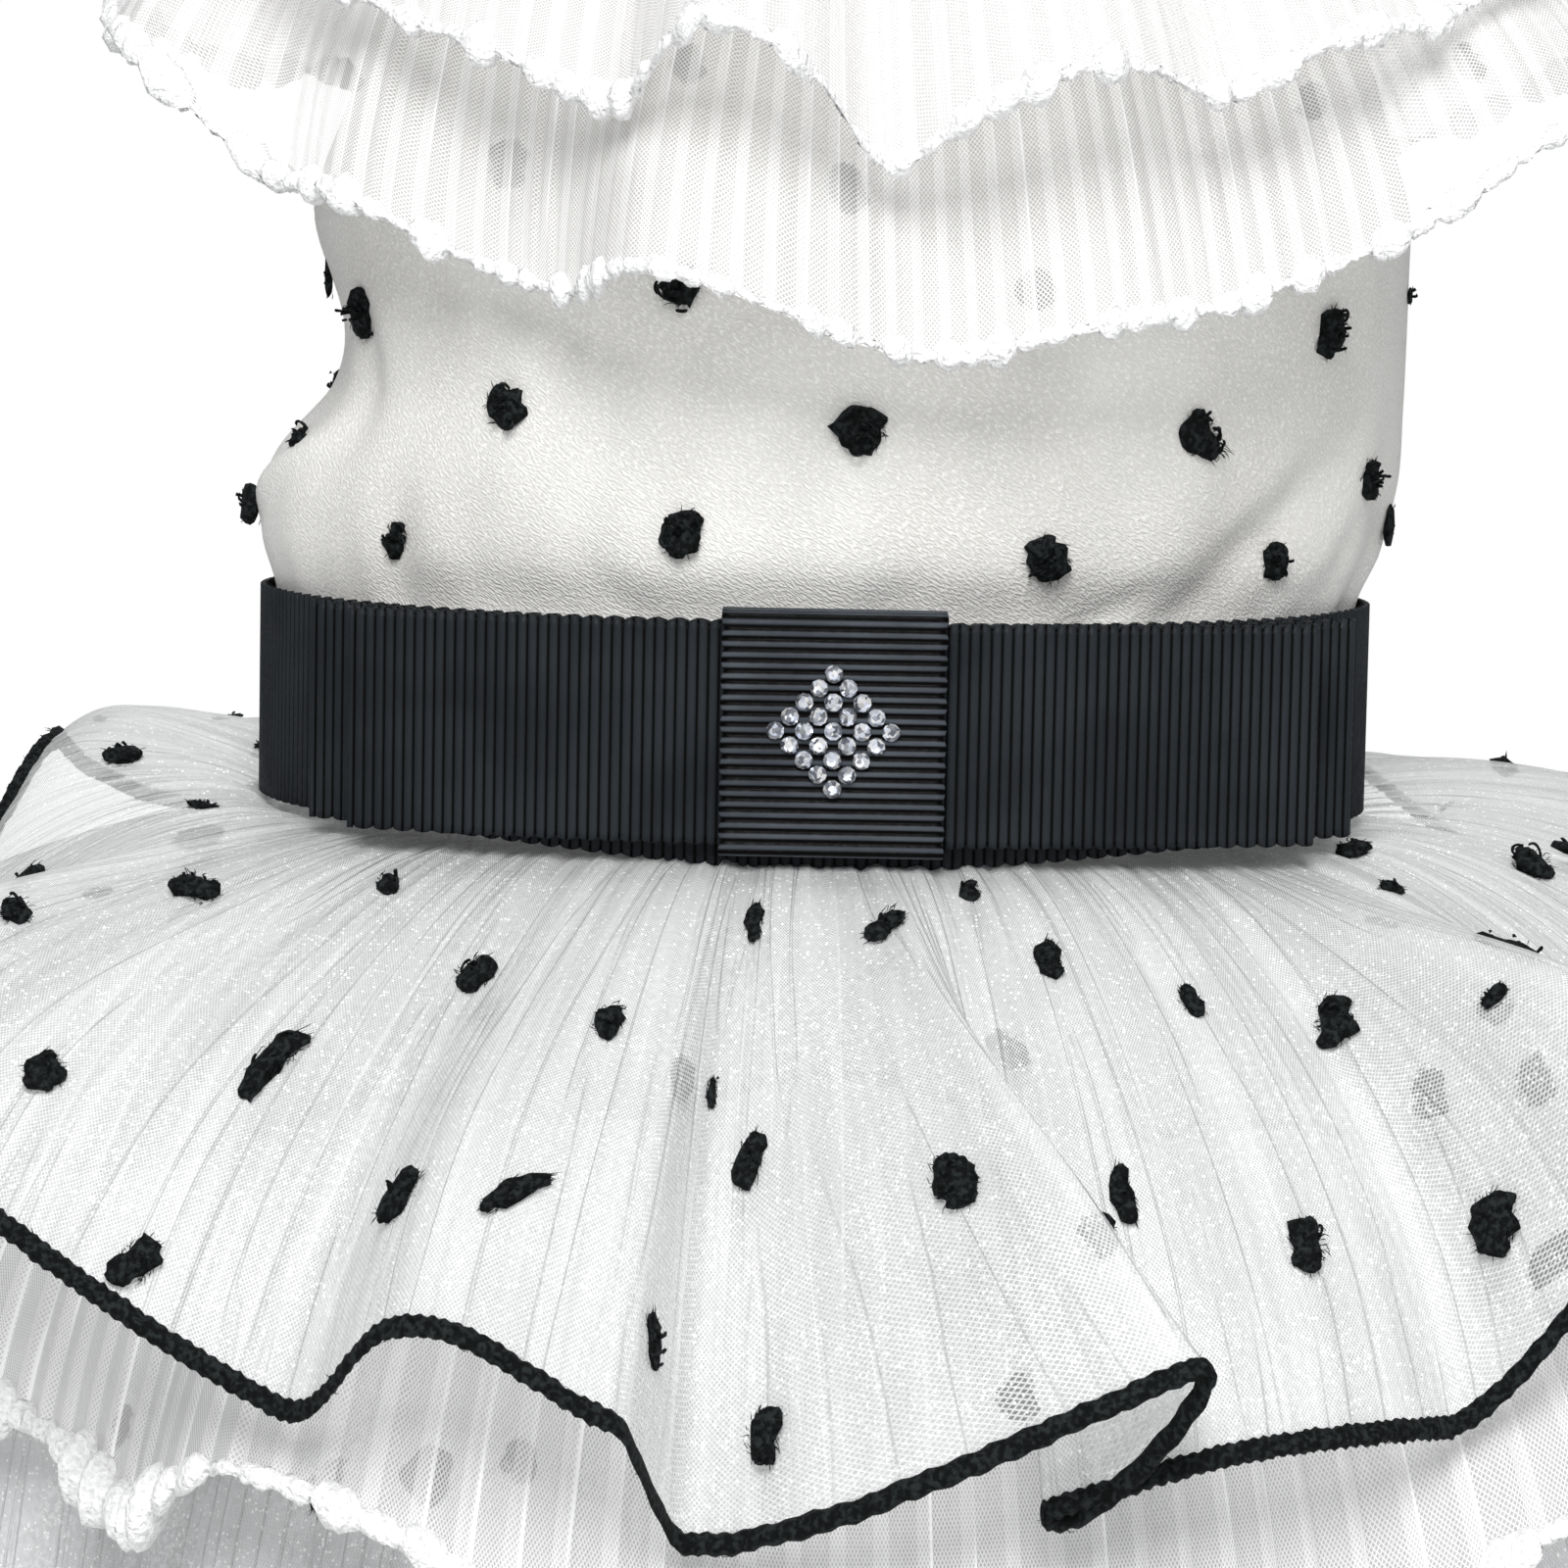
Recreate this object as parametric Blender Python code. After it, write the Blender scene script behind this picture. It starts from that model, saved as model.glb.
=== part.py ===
"""Small sleeveless dress, kept as it is worn: a satin bodice with a dotted sheer overlay, two pleated
frills at the neck, a ribbon belt with a flat double bow, and a skirt of three stiff tiers.

Metres, +Z up. The bow faces -Y. The origin is the middle of the neck opening, where the wearer holds it.
Azimuths are measured round the body from the front (-Y) towards +X, in degrees in the tables.
"""

import math
from collections import namedtuple

import bmesh
import bpy
from mathutils import Vector

MM = 0.001

# Driving sizes
RIBBON_WIDTH = 25.0 * MM
CLOTH = 1.0 * MM
SEAM = 0.3 * MM
LAYER_STEP = CLOTH + SEAM

# The belt's middle line lies this far below the neck opening. Heights in the tables start from that line.
BELT_BELOW_NECK = 110.0 * MM

# Belt, as the outline of its outer face
BELT_HALF_WIDTH = 66.7 * MM
BELT_HALF_DEPTH = 51.5 * MM
BELT_LOW = -13.0 * MM
BELT_HIGH = 12.0 * MM
BELT_FLARE = 0.8 * MM

# Neck opening, as the outline of the bodice's middle surface there
NECK_HALF_WIDTH = 42.0 * MM
NECK_HALF_DEPTH = 37.0 * MM
NECK_HEIGHT = 110.0 * MM
LEAN = 5.6 * MM

# Bodice: the outline of its middle surface at each height, in millimetres
Section = namedtuple("Section", "height half_width half_depth shift_x")
BODICE_SECTIONS = (
    Section(-12.3, 61.0, 45.8, 0.0),
    Section(-3.0, 61.0, 45.8, 0.0),
    Section(5.0, 63.6, 48.4, 0.0),
    Section(12.6, 64.5, 49.3, 0.2),
    Section(18.0, 66.2, 51.0, 1.0),
    Section(27.0, 66.8, 51.8, 2.4),
    Section(36.0, 65.2, 52.0, 4.3),
    Section(50.0, 65.0, 52.0, 4.7),
    Section(64.0, 64.8, 51.4, 4.8),
    Section(78.0, 62.2, 49.4, 5.0),
    Section(92.0, 56.0, 45.0, 5.3),
    Section(100.0, 50.0, 41.6, 5.5),
    Section(105.0, 43.2, 37.8, 5.6),
    Section(110.0, 42.0, 37.0, 5.6),
)
PANEL_COLUMNS = 16

# Soft dents and swellings of the worn bodice: where, how far round and up they reach, and how deep
Swell = namedtuple("Swell", "azimuth height half_angle half_height out")
BODICE_SWELLS = (
    Swell(-92.0, 41.0, 42.0, 16.0, -4.6),
    Swell(-72.0, 22.0, 34.0, 13.0, 1.4),
    Swell(-48.0, 34.0, 16.0, 30.0, -1.5),
    Swell(58.0, 30.0, 20.0, 26.0, -1.4),
    Swell(150.0, 30.0, 30.0, 22.0, -1.6),
    Swell(-145.0, 36.0, 26.0, 20.0, -1.4),
)

# Armholes: the side edge of each panel turns in by this much between these heights
ARMHOLE_LOW = 56.0 * MM
ARMHOLE_HIGH = 94.0 * MM
ARMHOLE_HALF_ANGLE = math.radians(23.0)

# Neck band over the top edges of the bodice and the frills
BAND_HEIGHT = 2.6 * MM
BAND_WIDTH = 4.6 * MM
FRILL_EASE = 0.4 * MM
FRILL_SWAY = 4.0 * MM

# Sizes that change round the body are given at the front, the sides and the back, in millimetres.
# layer counts inwards from the belt on the skirt, and outwards from the bodice at the neck.
Tier = namedtuple("Tier", "layer start reach hem crest columns rows pleats pleat_depth hem_wall")
TIER_1 = Tier(1, -14.6, (54, 66, 74), (-79, -43, -25), (-13, -7, -4), 104, 6, 0, 0.0, 1.0)
TIER_2 = Tier(2, -17.0, (55, 69, 79), (-97, -66, -48), (-17, -15, -14), 104, 6, 52, 1.2, 3.0)
TIER_3 = Tier(3, -19.6, (51, 69, 80), (-115, -90, -72), (-22, -23, -23), 72, 5, 0, 0.0, 1.0)
TIER_TOP = -5.0 * MM
HEM_STOPS = [0.95, 1.0]

# Folds of each tier: the crest, how far it falls to either side, how far it swings the hem up about the
# waist, how far the crest is pushed round over its neighbour on the right, the share of the cloth's length
# that it takes up, and how far it lets the cloth sink below the belt
Fold = namedtuple("Fold", "azimuth left right lift lap short dip", defaults=(0.0, 0.0))
LAP_LEFT = 12.2
LAP_RIGHT = 5.8
TIER_1_FOLDS = (
    Fold(-51.8, 18.0, 46.8, 25.0, 0.0),
    Fold(-17.4, 7.5, 10.1, 14.0, 0.0),
    Fold(-8.2, 12.9, 2.4, 13.7, 0.0),
    Fold(6.0, 11.5, 4.1, 19.3, 10.6),
    Fold(20.9, 18.8, 25.5, 8.5, 0.0),
    Fold(41.5, 9.0, 15.0, 28.0, 0.0),
    Fold(78.0, 9.0, 9.0, 6.0, 0.0),
    Fold(84.0, 24.0, 40.0, 0.0, 0.0, 0.0, 6.0),
    Fold(116.0, 20.0, 17.0, 7.0, 0.0),
    Fold(150.0, 14.0, 12.0, 8.0, 0.0),
    Fold(177.0, 15.0, 13.0, 9.0, 0.0),
    Fold(-156.0, 14.0, 15.0, 8.0, 0.0),
    Fold(-100.8, 48.0, 53.8, 26.0, 0.0, 0.54),
    Fold(-85.0, 21.9, 32.2, -15.0, 0.0),
)
TIER_2_FOLDS = (
    Fold(-50.9, 15.9, 24.1, -3.7, 0.0, 0.14),
    Fold(-27.7, 13.2, 28.0, 10.1, 0.0, 0.10),
    Fold(42.0, 16.0, 14.0, 11.0, 0.0),
    Fold(78.0, 10.0, 9.0, 3.0, 0.0),
    Fold(119.0, 13.0, 13.0, 6.0, 0.0),
    Fold(150.0, 11.0, 10.0, 5.0, 0.0),
    Fold(177.0, 12.0, 10.0, 6.0, 0.0),
    Fold(-156.0, 11.0, 12.0, 5.0, 0.0),
    Fold(-129.0, 10.0, 11.0, 6.0, 0.0),
    Fold(-102.0, 10.0, 10.0, 6.0, 0.0),
    Fold(-77.0, 12.0, 12.0, -3.0, 0.0),
)
TIER_3_FOLDS = (
    Fold(-52.0, 20.0, 20.0, -9.0, 0.0),
    Fold(-20.0, 12.0, 12.0, 1.0, 0.0),
    Fold(10.0, 12.0, 12.0, -3.0, 0.0),
    Fold(58.0, 18.0, 12.0, 5.0, 0.0),
    Fold(76.0, 12.0, 10.0, 4.0, 0.0),
    Fold(120.0, 12.0, 12.0, 4.0, 0.0),
    Fold(150.0, 12.0, 12.0, 3.0, 0.0),
    Fold(178.0, 12.0, 12.0, 4.0, 0.0),
    Fold(-155.0, 12.0, 12.0, 3.0, 0.0),
    Fold(-128.0, 11.0, 11.0, 4.0, 0.0),
    Fold(-102.0, 11.0, 11.0, 4.0, 0.0),
    Fold(-78.0, 12.0, 12.0, -4.0, 0.0),
)

# Neck frills, in the same columns as the tiers
LOWER_FRILL = Tier(1, 108.0, (25, 49, 33), (41, 75, 54), (102, 108, 104), 96, 5, 48, 1.1, 3.0)
UPPER_FRILL = Tier(2, 110.0, (30, 41, 37), (63, 96, 78), (107, 112, 109), 72, 5, 36, 1.1, 3.0)
LOWER_FRILL_FOLDS = (
    Fold(-96.1, 22.7, 15.5, 5.5, 0.0),
    Fold(-75.6, 10.9, 12.0, 6.0, 0.0),
    Fold(-64.5, 10.1, 17.7, -9.9, 0.0),
    Fold(-42.5, 16.1, 20.1, -8.2, 0.0),
    Fold(-18.1, 15.2, 24.0, 11.0, 0.0),
    Fold(16.7, 18.4, 11.6, 4.0, 0.0),
    Fold(51.3, 9.0, 12.9, 3.0, 0.0),
    Fold(61.0, 24.8, 20.0, 7.0, 0.0),
    Fold(108.0, 20.0, 22.0, 6.0, 0.0),
    Fold(152.0, 20.0, 20.0, 9.0, 0.0),
    Fold(-166.0, 20.0, 20.0, 8.0, 0.0),
    Fold(-130.0, 18.0, 18.0, 7.0, 0.0),
)
UPPER_FRILL_FOLDS = (
    Fold(-66.0, 18.0, 16.0, 14.0, 0.0),
    Fold(-37.5, 8.6, 14.2, 2.0, 0.0),
    Fold(-13.7, 12.8, 16.8, 19.4, 0.0),
    Fold(-2.7, 5.3, 6.1, -6.8, 0.0),
    Fold(12.9, 18.6, 16.8, 14.0, 0.0),
    Fold(32.7, 11.2, 18.8, 8.2, 0.0),
    Fold(68.0, 28.0, 21.0, 13.0, 0.0),
    Fold(116.0, 20.0, 18.0, 10.0, 0.0),
    Fold(154.0, 18.0, 18.0, 15.0, 0.0),
    Fold(-165.0, 18.0, 18.0, 14.0, 0.0),
    Fold(-118.0, 18.0, 22.0, 10.0, 0.0),
)

# Overlocked thread along the hems of the sheer tiers
HEM_CORD_RADIUS = 1.1 * MM

# Bow: two flattened ribbon loops, one on the other, and the ribbon knot that holds them
RIBBON = 0.8 * MM
LOOP_GAP = 1.0 * MM
LOOP_DEPTH = LOOP_GAP + 2 * RIBBON
Loop = namedtuple("Loop", "name half_length bend")
UNDER_LOOP = Loop("bow_under_loops", 59.5 * MM, 0.0049 / MM)
TOP_LOOP = Loop("bow_top_loops", 54.5 * MM, 0.0035 / MM)
BOW_SHIFT = 2.0 * MM
KNOT_WIDTH = 25.0 * MM

SATIN = ("dotted_satin", (0.80, 0.79, 0.76), 0.45)
ORGANZA = ("sheer_organza", (0.84, 0.86, 0.86), 0.5)
TULLE = ("pleated_tulle", (0.88, 0.86, 0.85), 0.6)
BLACK_RIBBON = ("black_ribbon", (0.012, 0.013, 0.016), 0.5)
BLACK_THREAD = ("black_thread", (0.010, 0.011, 0.014), 0.8)


def clear_scene():
    for thing in list(bpy.data.objects):
        bpy.data.objects.remove(thing)


def material(name, colour, roughness):
    made = bpy.data.materials.get(name) or bpy.data.materials.new(name)
    made.use_nodes = True
    shader = made.node_tree.nodes["Principled BSDF"]
    shader.inputs["Base Color"].default_value = (*colour, 1.0)
    shader.inputs["Roughness"].default_value = roughness
    return made


def add_object(name, data, finish):
    thing = bpy.data.objects.new(name, data)
    thing.data.materials.append(material(*finish))
    bpy.context.scene.collection.objects.link(thing)
    return thing


def cloth(name, columns, rows, place, wall, finish, closed=False, row_walls=None):
    """A grid laid over a curved surface by place(across, row), then given its wall by Solidify.

    across runs from 0 to 1 along the panel, row counts from 0 at its top. row_walls gives rows their own wall.
    """
    shape = bmesh.new()
    bmesh.ops.create_grid(shape, x_segments=columns, y_segments=rows, size=1.0)
    row_of = {}
    for vert in shape.verts:
        row = round((1.0 - vert.co.y) / 2.0 * rows)
        across = (vert.co.x + 1.0) / 2.0
        vert.co = place(across, row)
        row_of[vert] = row
    if closed:
        bmesh.ops.remove_doubles(shape, verts=shape.verts, dist=0.01 * MM)
    thick_verts = []
    if row_walls:
        shape.verts.index_update()
        thick_verts = [(v.index, row_walls[row_of[v]] / wall) for v in shape.verts]
    mesh = bpy.data.meshes.new(name)
    shape.to_mesh(mesh)
    shape.free()
    mesh.shade_smooth()
    thing = add_object(name, mesh, finish)
    solid = thing.modifiers.new("wall", "SOLIDIFY")
    solid.thickness = wall
    solid.offset = 0.0
    if thick_verts:
        group = thing.vertex_groups.new(name="wall")
        for index, share in thick_verts:
            group.add([index], share, "REPLACE")
        solid.vertex_group = group.name
    return thing


def smooth_step(share):
    share = min(1.0, max(0.0, share))
    return share * share * (3.0 - 2.0 * share)


def bump(share):
    return math.cos(math.pi / 2.0 * share) ** 2 if abs(share) < 1.0 else 0.0


def around(sizes, azimuth):
    """A size in metres that passes smoothly from its front value through the side to the back."""
    front, side, back = (size * MM for size in sizes)
    even = (front + back) / 4.0
    return (
        even
        + side / 2.0
        + (front - back) / 2.0 * math.cos(azimuth)
        + (even - side / 2.0) * math.cos(2.0 * azimuth)
    )


def turned(angle):
    """The same direction as an angle between -pi and pi."""
    return (angle + math.pi) % (2.0 * math.pi) - math.pi


def sum_of_folds(folds, azimuth):
    """Lift, lap, short and dip of all the folds together at this azimuth."""
    lift = 0.0
    lap = 0.0
    short = 0.0
    dip = 0.0
    for fold in folds:
        off = math.degrees(turned(azimuth - math.radians(fold.azimuth)))
        near = bump(off / (fold.left if off < 0.0 else fold.right))
        lift += fold.lift * near
        short += fold.short * near
        dip += fold.dip * near
        lap += fold.lap * bump(off / (LAP_LEFT if off < 0.0 else LAP_RIGHT))
    return math.radians(lift), math.radians(lap), short, dip * MM


def bezier(p0, p1, p2, p3, t):
    u = 1.0 - t
    return tuple(
        u**3 * a + 3 * u * u * t * b + 3 * u * t * t * c + t**3 * d
        for a, b, c, d in zip(p0, p1, p2, p3)
    )


def bezier_normal(p0, p1, p2, p3, t):
    u = 1.0 - t
    run, fall = (
        3 * u * u * (b - a) + 6 * u * t * (c - b) + 3 * t * t * (d - c)
        for a, b, c, d in zip(p0, p1, p2, p3)
    )
    long = math.hypot(run, fall)
    return -fall / long, run / long


def flared(tier, folds, azimuth, along, pleat):
    """(out, height, azimuth) of a flared layer: along runs from 0 at its seam to 1 at its hem."""
    lift, lap, short, dip = sum_of_folds(folds, azimuth)
    start = tier.start * MM
    reach = around(tier.reach, azimuth) * (1.0 - short)
    hem = start + (around(tier.hem, azimuth) - start) * (1.0 - short)
    crest = around(tier.crest, azimuth) - dip
    guides = (
        (0.0, start),
        (0.38 * reach, crest),
        (0.86 * reach, hem + 0.48 * (crest - hem)),
        (reach, hem),
    )
    out, height = bezier(*guides, along)
    side, up = bezier_normal(*guides, along)
    deep = tier.pleat_depth * MM * smooth_step(along * 2.2) * pleat
    out += side * deep
    height += up * deep
    lift *= smooth_step(along * 1.15)
    rise = height - start
    swung_out = out * math.cos(lift) - rise * math.sin(lift)
    swung_up = out * math.sin(lift) + rise * math.cos(lift)
    return swung_out, start + swung_up, azimuth + lap * along**2


def ring(half_width, half_depth, shift_x, azimuth, height):
    """A point on an upright oval outline, from heights above the belt's middle line."""
    return Vector(
        (
            shift_x + half_width * math.sin(azimuth),
            -half_depth * math.cos(azimuth),
            height - BELT_BELOW_NECK,
        )
    )


def half_azimuth(side, across, trim=0.0):
    """Azimuth of a point on the front (0) or back (1) half, with the half trimmed at each side seam."""
    return math.pi * side + (across - 0.5) * (math.pi - 2.0 * trim)


def seam_trim(half_width):
    return SEAM / 2.0 / half_width


def zigzag(across, columns):
    """+1 on every other column, -1 between: ridges and valleys of the pleats, flat at the side seams."""
    column = round(across * columns)
    if column in (0, 1, columns - 1, columns):
        return 0.0
    return 1.0 if column % 2 == 0 else -1.0


def tier_point(tier, folds, azimuth, along, pleat=0.0):
    """A point of a skirt tier's middle surface. along below 0 is the part tucked up behind the belt."""
    inset = tier.layer * LAYER_STEP + CLOTH / 2.0
    if along < 0.0:
        out, height, where = 0.0, TIER_TOP, azimuth
    else:
        out, height, where = flared(tier, folds, azimuth, along, pleat)
    return ring(BELT_HALF_WIDTH - inset + out, BELT_HALF_DEPTH - inset + out, 0.0, where, height)


def frill_point(tier, folds, azimuth, along, pleat=0.0):
    outset = tier.layer * LAYER_STEP + FRILL_EASE
    out, height, where = flared(tier, folds, azimuth, along, pleat)
    shift = LEAN + FRILL_SWAY * along
    return ring(
        NECK_HALF_WIDTH + outset + out, NECK_HALF_DEPTH + outset + out, shift, where, height
    )


def row_stops(tier, first):
    """Where the rows lie along the layer. A thick hem gets a short row of its own."""
    hem = HEM_STOPS if tier.hem_wall > 1.0 else []
    inner = tier.rows - len(first) - len(hem)
    reach = 0.9 if hem else 1.0
    return [*first, *(reach * i / inner for i in range(inner + 1)), *hem]


def flared_panels(name, tier, folds, point, first, finish):
    """The front and back halves of a flared layer, parted at the side seams."""
    stops = row_stops(tier, first)
    walls = [tier.hem_wall * MM if stop in HEM_STOPS else CLOTH for stop in stops]
    columns = tier.columns // 2
    for side, half in enumerate(("front", "back")):

        def place(across, row, side=side):
            azimuth = half_azimuth(side, across, seam_trim(BELT_HALF_WIDTH))
            pleat = zigzag(across, columns) if tier.pleats else 0.0
            return point(tier, folds, azimuth, stops[row], pleat)

        thick = tier.hem_wall > 1.0
        cloth(
            f"{name}_{half}",
            columns,
            len(stops) - 1,
            place,
            tier.hem_wall * MM,
            finish,
            row_walls=walls if thick else None,
        )


def hem_cords(name, tier, folds, point):
    """The thread rolled over a sheer tier's hem, just past the cloth's edge."""
    columns = tier.columns // 2
    clear = HEM_CORD_RADIUS + SEAM
    for side, half in enumerate(("front", "back")):
        line = bpy.data.curves.new(f"{name}_{half}", "CURVE")
        line.dimensions = "3D"
        line.bevel_depth = HEM_CORD_RADIUS
        line.bevel_resolution = 0
        line.use_fill_caps = True
        run = line.splines.new("POLY")
        run.points.add(columns)
        for column in range(columns + 1):
            azimuth = half_azimuth(side, column / columns, seam_trim(BELT_HALF_WIDTH) * 4.0)
            edge = point(tier, folds, azimuth, 1.0)
            onward = (edge - point(tier, folds, azimuth, 0.97)).normalized()
            run.points[column].co = (*(edge + onward * clear), 1.0)
        add_object(f"{name}_{half}", line, BLACK_THREAD)


def bodice_edge(height):
    """How far the panel's side edge turns in from the side seam at this height."""
    share = (height - ARMHOLE_LOW) / (ARMHOLE_HIGH - ARMHOLE_LOW)
    if not 0.0 < share < 1.0:
        return 0.0
    return ARMHOLE_HALF_ANGLE * math.sin(math.pi * share) ** 0.6


def bodice_swell(azimuth, height):
    out = 0.0
    for swell in BODICE_SWELLS:
        off = math.degrees(turned(azimuth - math.radians(swell.azimuth)))
        up = height / MM - swell.height
        out += swell.out * bump(off / swell.half_angle) * bump(up / swell.half_height)
    return out * MM


def bodice_panels():
    rows = len(BODICE_SECTIONS) - 1
    for side, half in enumerate(("front", "back")):

        def place(across, row, side=side):
            section = BODICE_SECTIONS[rows - row]
            height = section.height * MM
            trim = seam_trim(section.half_width * MM) + bodice_edge(height)
            azimuth = half_azimuth(side, across, trim)
            swell = bodice_swell(azimuth, height)
            return ring(
                section.half_width * MM + swell,
                section.half_depth * MM + swell,
                section.shift_x * MM,
                azimuth,
                height,
            )

        cloth(f"bodice_{half}", PANEL_COLUMNS, rows, place, CLOTH, SATIN)


def neck_band():
    """The folded band that covers the top edges of the bodice and both frills."""
    columns = 40
    middle = LAYER_STEP + FRILL_EASE / 2.0
    height = NECK_HEIGHT + CLOTH / 2.0 + SEAM + BAND_HEIGHT / 2.0

    def place(across, row):
        azimuth = 2.0 * math.pi * across
        out = middle + BAND_WIDTH * (0.5 - row)
        return ring(NECK_HALF_WIDTH + out, NECK_HALF_DEPTH + out, LEAN, azimuth, height)

    cloth("neck_band", columns, 1, place, BAND_HEIGHT, SATIN, closed=True)


def belt():
    columns = 60

    def place(across, row):
        azimuth = 2.0 * math.pi * across
        height = (BELT_HIGH, 0.0, BELT_LOW)[row]
        out = (0.0, 0.0, BELT_FLARE)[row] - CLOTH / 2.0
        return ring(BELT_HALF_WIDTH + out, BELT_HALF_DEPTH + out, 0.0, azimuth, height)

    cloth("belt_ribbon", columns, 2, place, CLOTH, BLACK_RIBBON, closed=True)


def bow_loops(loop, middle_y):
    """A ribbon laid in a flattened ring, bent back a little with the body at both ends."""
    flat = loop.half_length - LOOP_DEPTH / 2.0
    radius = (LOOP_GAP + RIBBON) / 2.0
    along = [-1.0, -0.8, -0.6, -0.4, -0.2, 0.0, 0.2, 0.4, 0.6, 0.8, 1.0]
    path = [(share * flat, -radius) for share in along]
    path += [(flat + radius * 0.87, -radius * 0.5), (flat + radius * 0.87, radius * 0.5)]
    path += [(share * flat, radius) for share in reversed(along)]
    path += [(-flat - radius * 0.87, radius * 0.5), (-flat - radius * 0.87, -radius * 0.5)]
    columns = len(path)

    def place(across, row):
        x, off = path[round(across * columns) % columns]
        lean = 2.0 * loop.bend * x
        size = math.hypot(1.0, lean)
        height = RIBBON_WIDTH / 2.0 * (1.0 if row == 0 else -1.0)
        return Vector(
            (
                BOW_SHIFT + x - off * lean / size,
                middle_y + loop.bend * x * x + off / size,
                height - BELT_BELOW_NECK,
            )
        )

    cloth(loop.name, columns, 1, place, RIBBON, BLACK_RIBBON, closed=True)


def bow_knot(front_y):
    """The short ribbon wrapped over both loops, turned back above and below them to the belt."""
    inside = RIBBON_WIDTH / 2.0 + SEAM
    half = inside + RIBBON / 2.0
    soft = 0.9 * MM
    back_y = -BELT_HALF_DEPTH - SEAM - BELT_FLARE
    path = (
        (back_y, half),
        ((back_y + front_y) / 2.0, half),
        (front_y + soft, half),
        (front_y + soft * 0.3, half - soft * 0.3),
        (front_y, half - soft),
        (front_y - 0.3 * MM, half * 0.4),
        (front_y - 0.3 * MM, -half * 0.4),
        (front_y, -half + soft),
        (front_y + soft * 0.3, -half + soft * 0.3),
        (front_y + soft, -half),
        ((back_y + front_y) / 2.0, -half),
        (back_y, -half),
    )

    def place(across, row):
        y, height = path[row]
        x = BOW_SHIFT + (across - 0.5) * KNOT_WIDTH
        return Vector((x, y, height - BELT_BELOW_NECK))

    cloth("bow_knot", 4, len(path) - 1, place, RIBBON, BLACK_RIBBON)


def bow():
    under_y = -BELT_HALF_DEPTH - BELT_FLARE - SEAM - LOOP_DEPTH / 2.0
    top_y = under_y - LOOP_DEPTH - SEAM
    bow_loops(UNDER_LOOP, under_y)
    bow_loops(TOP_LOOP, top_y)
    bow_knot(top_y - LOOP_DEPTH / 2.0 - SEAM - RIBBON / 2.0)


def build():
    clear_scene()
    bodice_panels()
    neck_band()
    flared_panels("lower_frill", LOWER_FRILL, LOWER_FRILL_FOLDS, frill_point, [], TULLE)
    flared_panels("upper_frill", UPPER_FRILL, UPPER_FRILL_FOLDS, frill_point, [], TULLE)
    belt()
    bow()
    flared_panels("tier_1", TIER_1, TIER_1_FOLDS, tier_point, [-1.0], ORGANZA)
    flared_panels("tier_2", TIER_2, TIER_2_FOLDS, tier_point, [-1.0], TULLE)
    flared_panels("tier_3", TIER_3, TIER_3_FOLDS, tier_point, [-1.0], ORGANZA)
    hem_cords("tier_1_hem", TIER_1, TIER_1_FOLDS, tier_point)
    hem_cords("tier_3_hem", TIER_3, TIER_3_FOLDS, tier_point)


build()
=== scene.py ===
"""Looks of the small pleated dress: satin, sheer organza, pleated net, ribbon, tufts and stones.

Metres, +Z up, the bow faces -Y, the origin is the middle of the neck opening. Azimuths run round the body
from the front (-Y) towards +X. Heights in the tables start from the middle line of the belt.
"""

import math
from collections import namedtuple
from functools import lru_cache
from itertools import product

import bmesh
import bpy
from mathutils import Matrix, Quaternion, Vector, noise
from mathutils.bvhtree import BVHTree


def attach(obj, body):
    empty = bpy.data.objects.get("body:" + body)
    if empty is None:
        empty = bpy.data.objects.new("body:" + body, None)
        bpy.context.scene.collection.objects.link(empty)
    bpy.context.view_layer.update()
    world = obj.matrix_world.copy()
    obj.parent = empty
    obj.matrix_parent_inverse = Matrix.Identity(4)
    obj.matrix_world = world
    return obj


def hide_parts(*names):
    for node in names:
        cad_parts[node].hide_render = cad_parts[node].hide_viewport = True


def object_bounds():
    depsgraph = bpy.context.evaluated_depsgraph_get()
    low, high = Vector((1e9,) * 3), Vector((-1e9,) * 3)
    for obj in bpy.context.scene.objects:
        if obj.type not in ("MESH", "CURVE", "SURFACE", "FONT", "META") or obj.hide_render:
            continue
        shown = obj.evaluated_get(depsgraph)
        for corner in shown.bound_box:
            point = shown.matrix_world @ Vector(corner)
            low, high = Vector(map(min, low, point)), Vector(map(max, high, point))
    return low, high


MM = 0.001
CLOTH = 1.0 * MM
SEAM = 0.3 * MM
WELD = 0.002 * MM
LAYER_STEP = CLOTH + SEAM
UP = Vector((0.0, 0.0, 1.0))
ACROSS = Vector((1.0, 0.0, 0.0))

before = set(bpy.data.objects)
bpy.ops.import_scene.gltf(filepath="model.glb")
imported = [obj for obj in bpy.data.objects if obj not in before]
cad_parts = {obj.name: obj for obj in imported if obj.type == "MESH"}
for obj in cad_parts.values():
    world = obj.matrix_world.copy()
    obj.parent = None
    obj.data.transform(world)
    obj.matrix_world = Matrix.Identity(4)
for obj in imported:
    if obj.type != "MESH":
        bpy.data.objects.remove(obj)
cad_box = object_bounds()

# The photograph's view: a long lens close on the belt, a little above it
PHOTO_PIXELS = 1600
LENS_PIXELS = 5520.0
VIEW_DISTANCE = 0.600
VIEW_ELEVATION = math.radians(6.0)
VIEW_ROLL = math.radians(1.1)
BELT_BELOW_NECK = 110.0 * MM
VIEW_TARGET = Vector((-3.3 * MM, -55.0 * MM, -5.8 * MM - BELT_BELOW_NECK))
VIEW_BACK = Vector((0.0, -math.cos(VIEW_ELEVATION), math.sin(VIEW_ELEVATION)))


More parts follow.
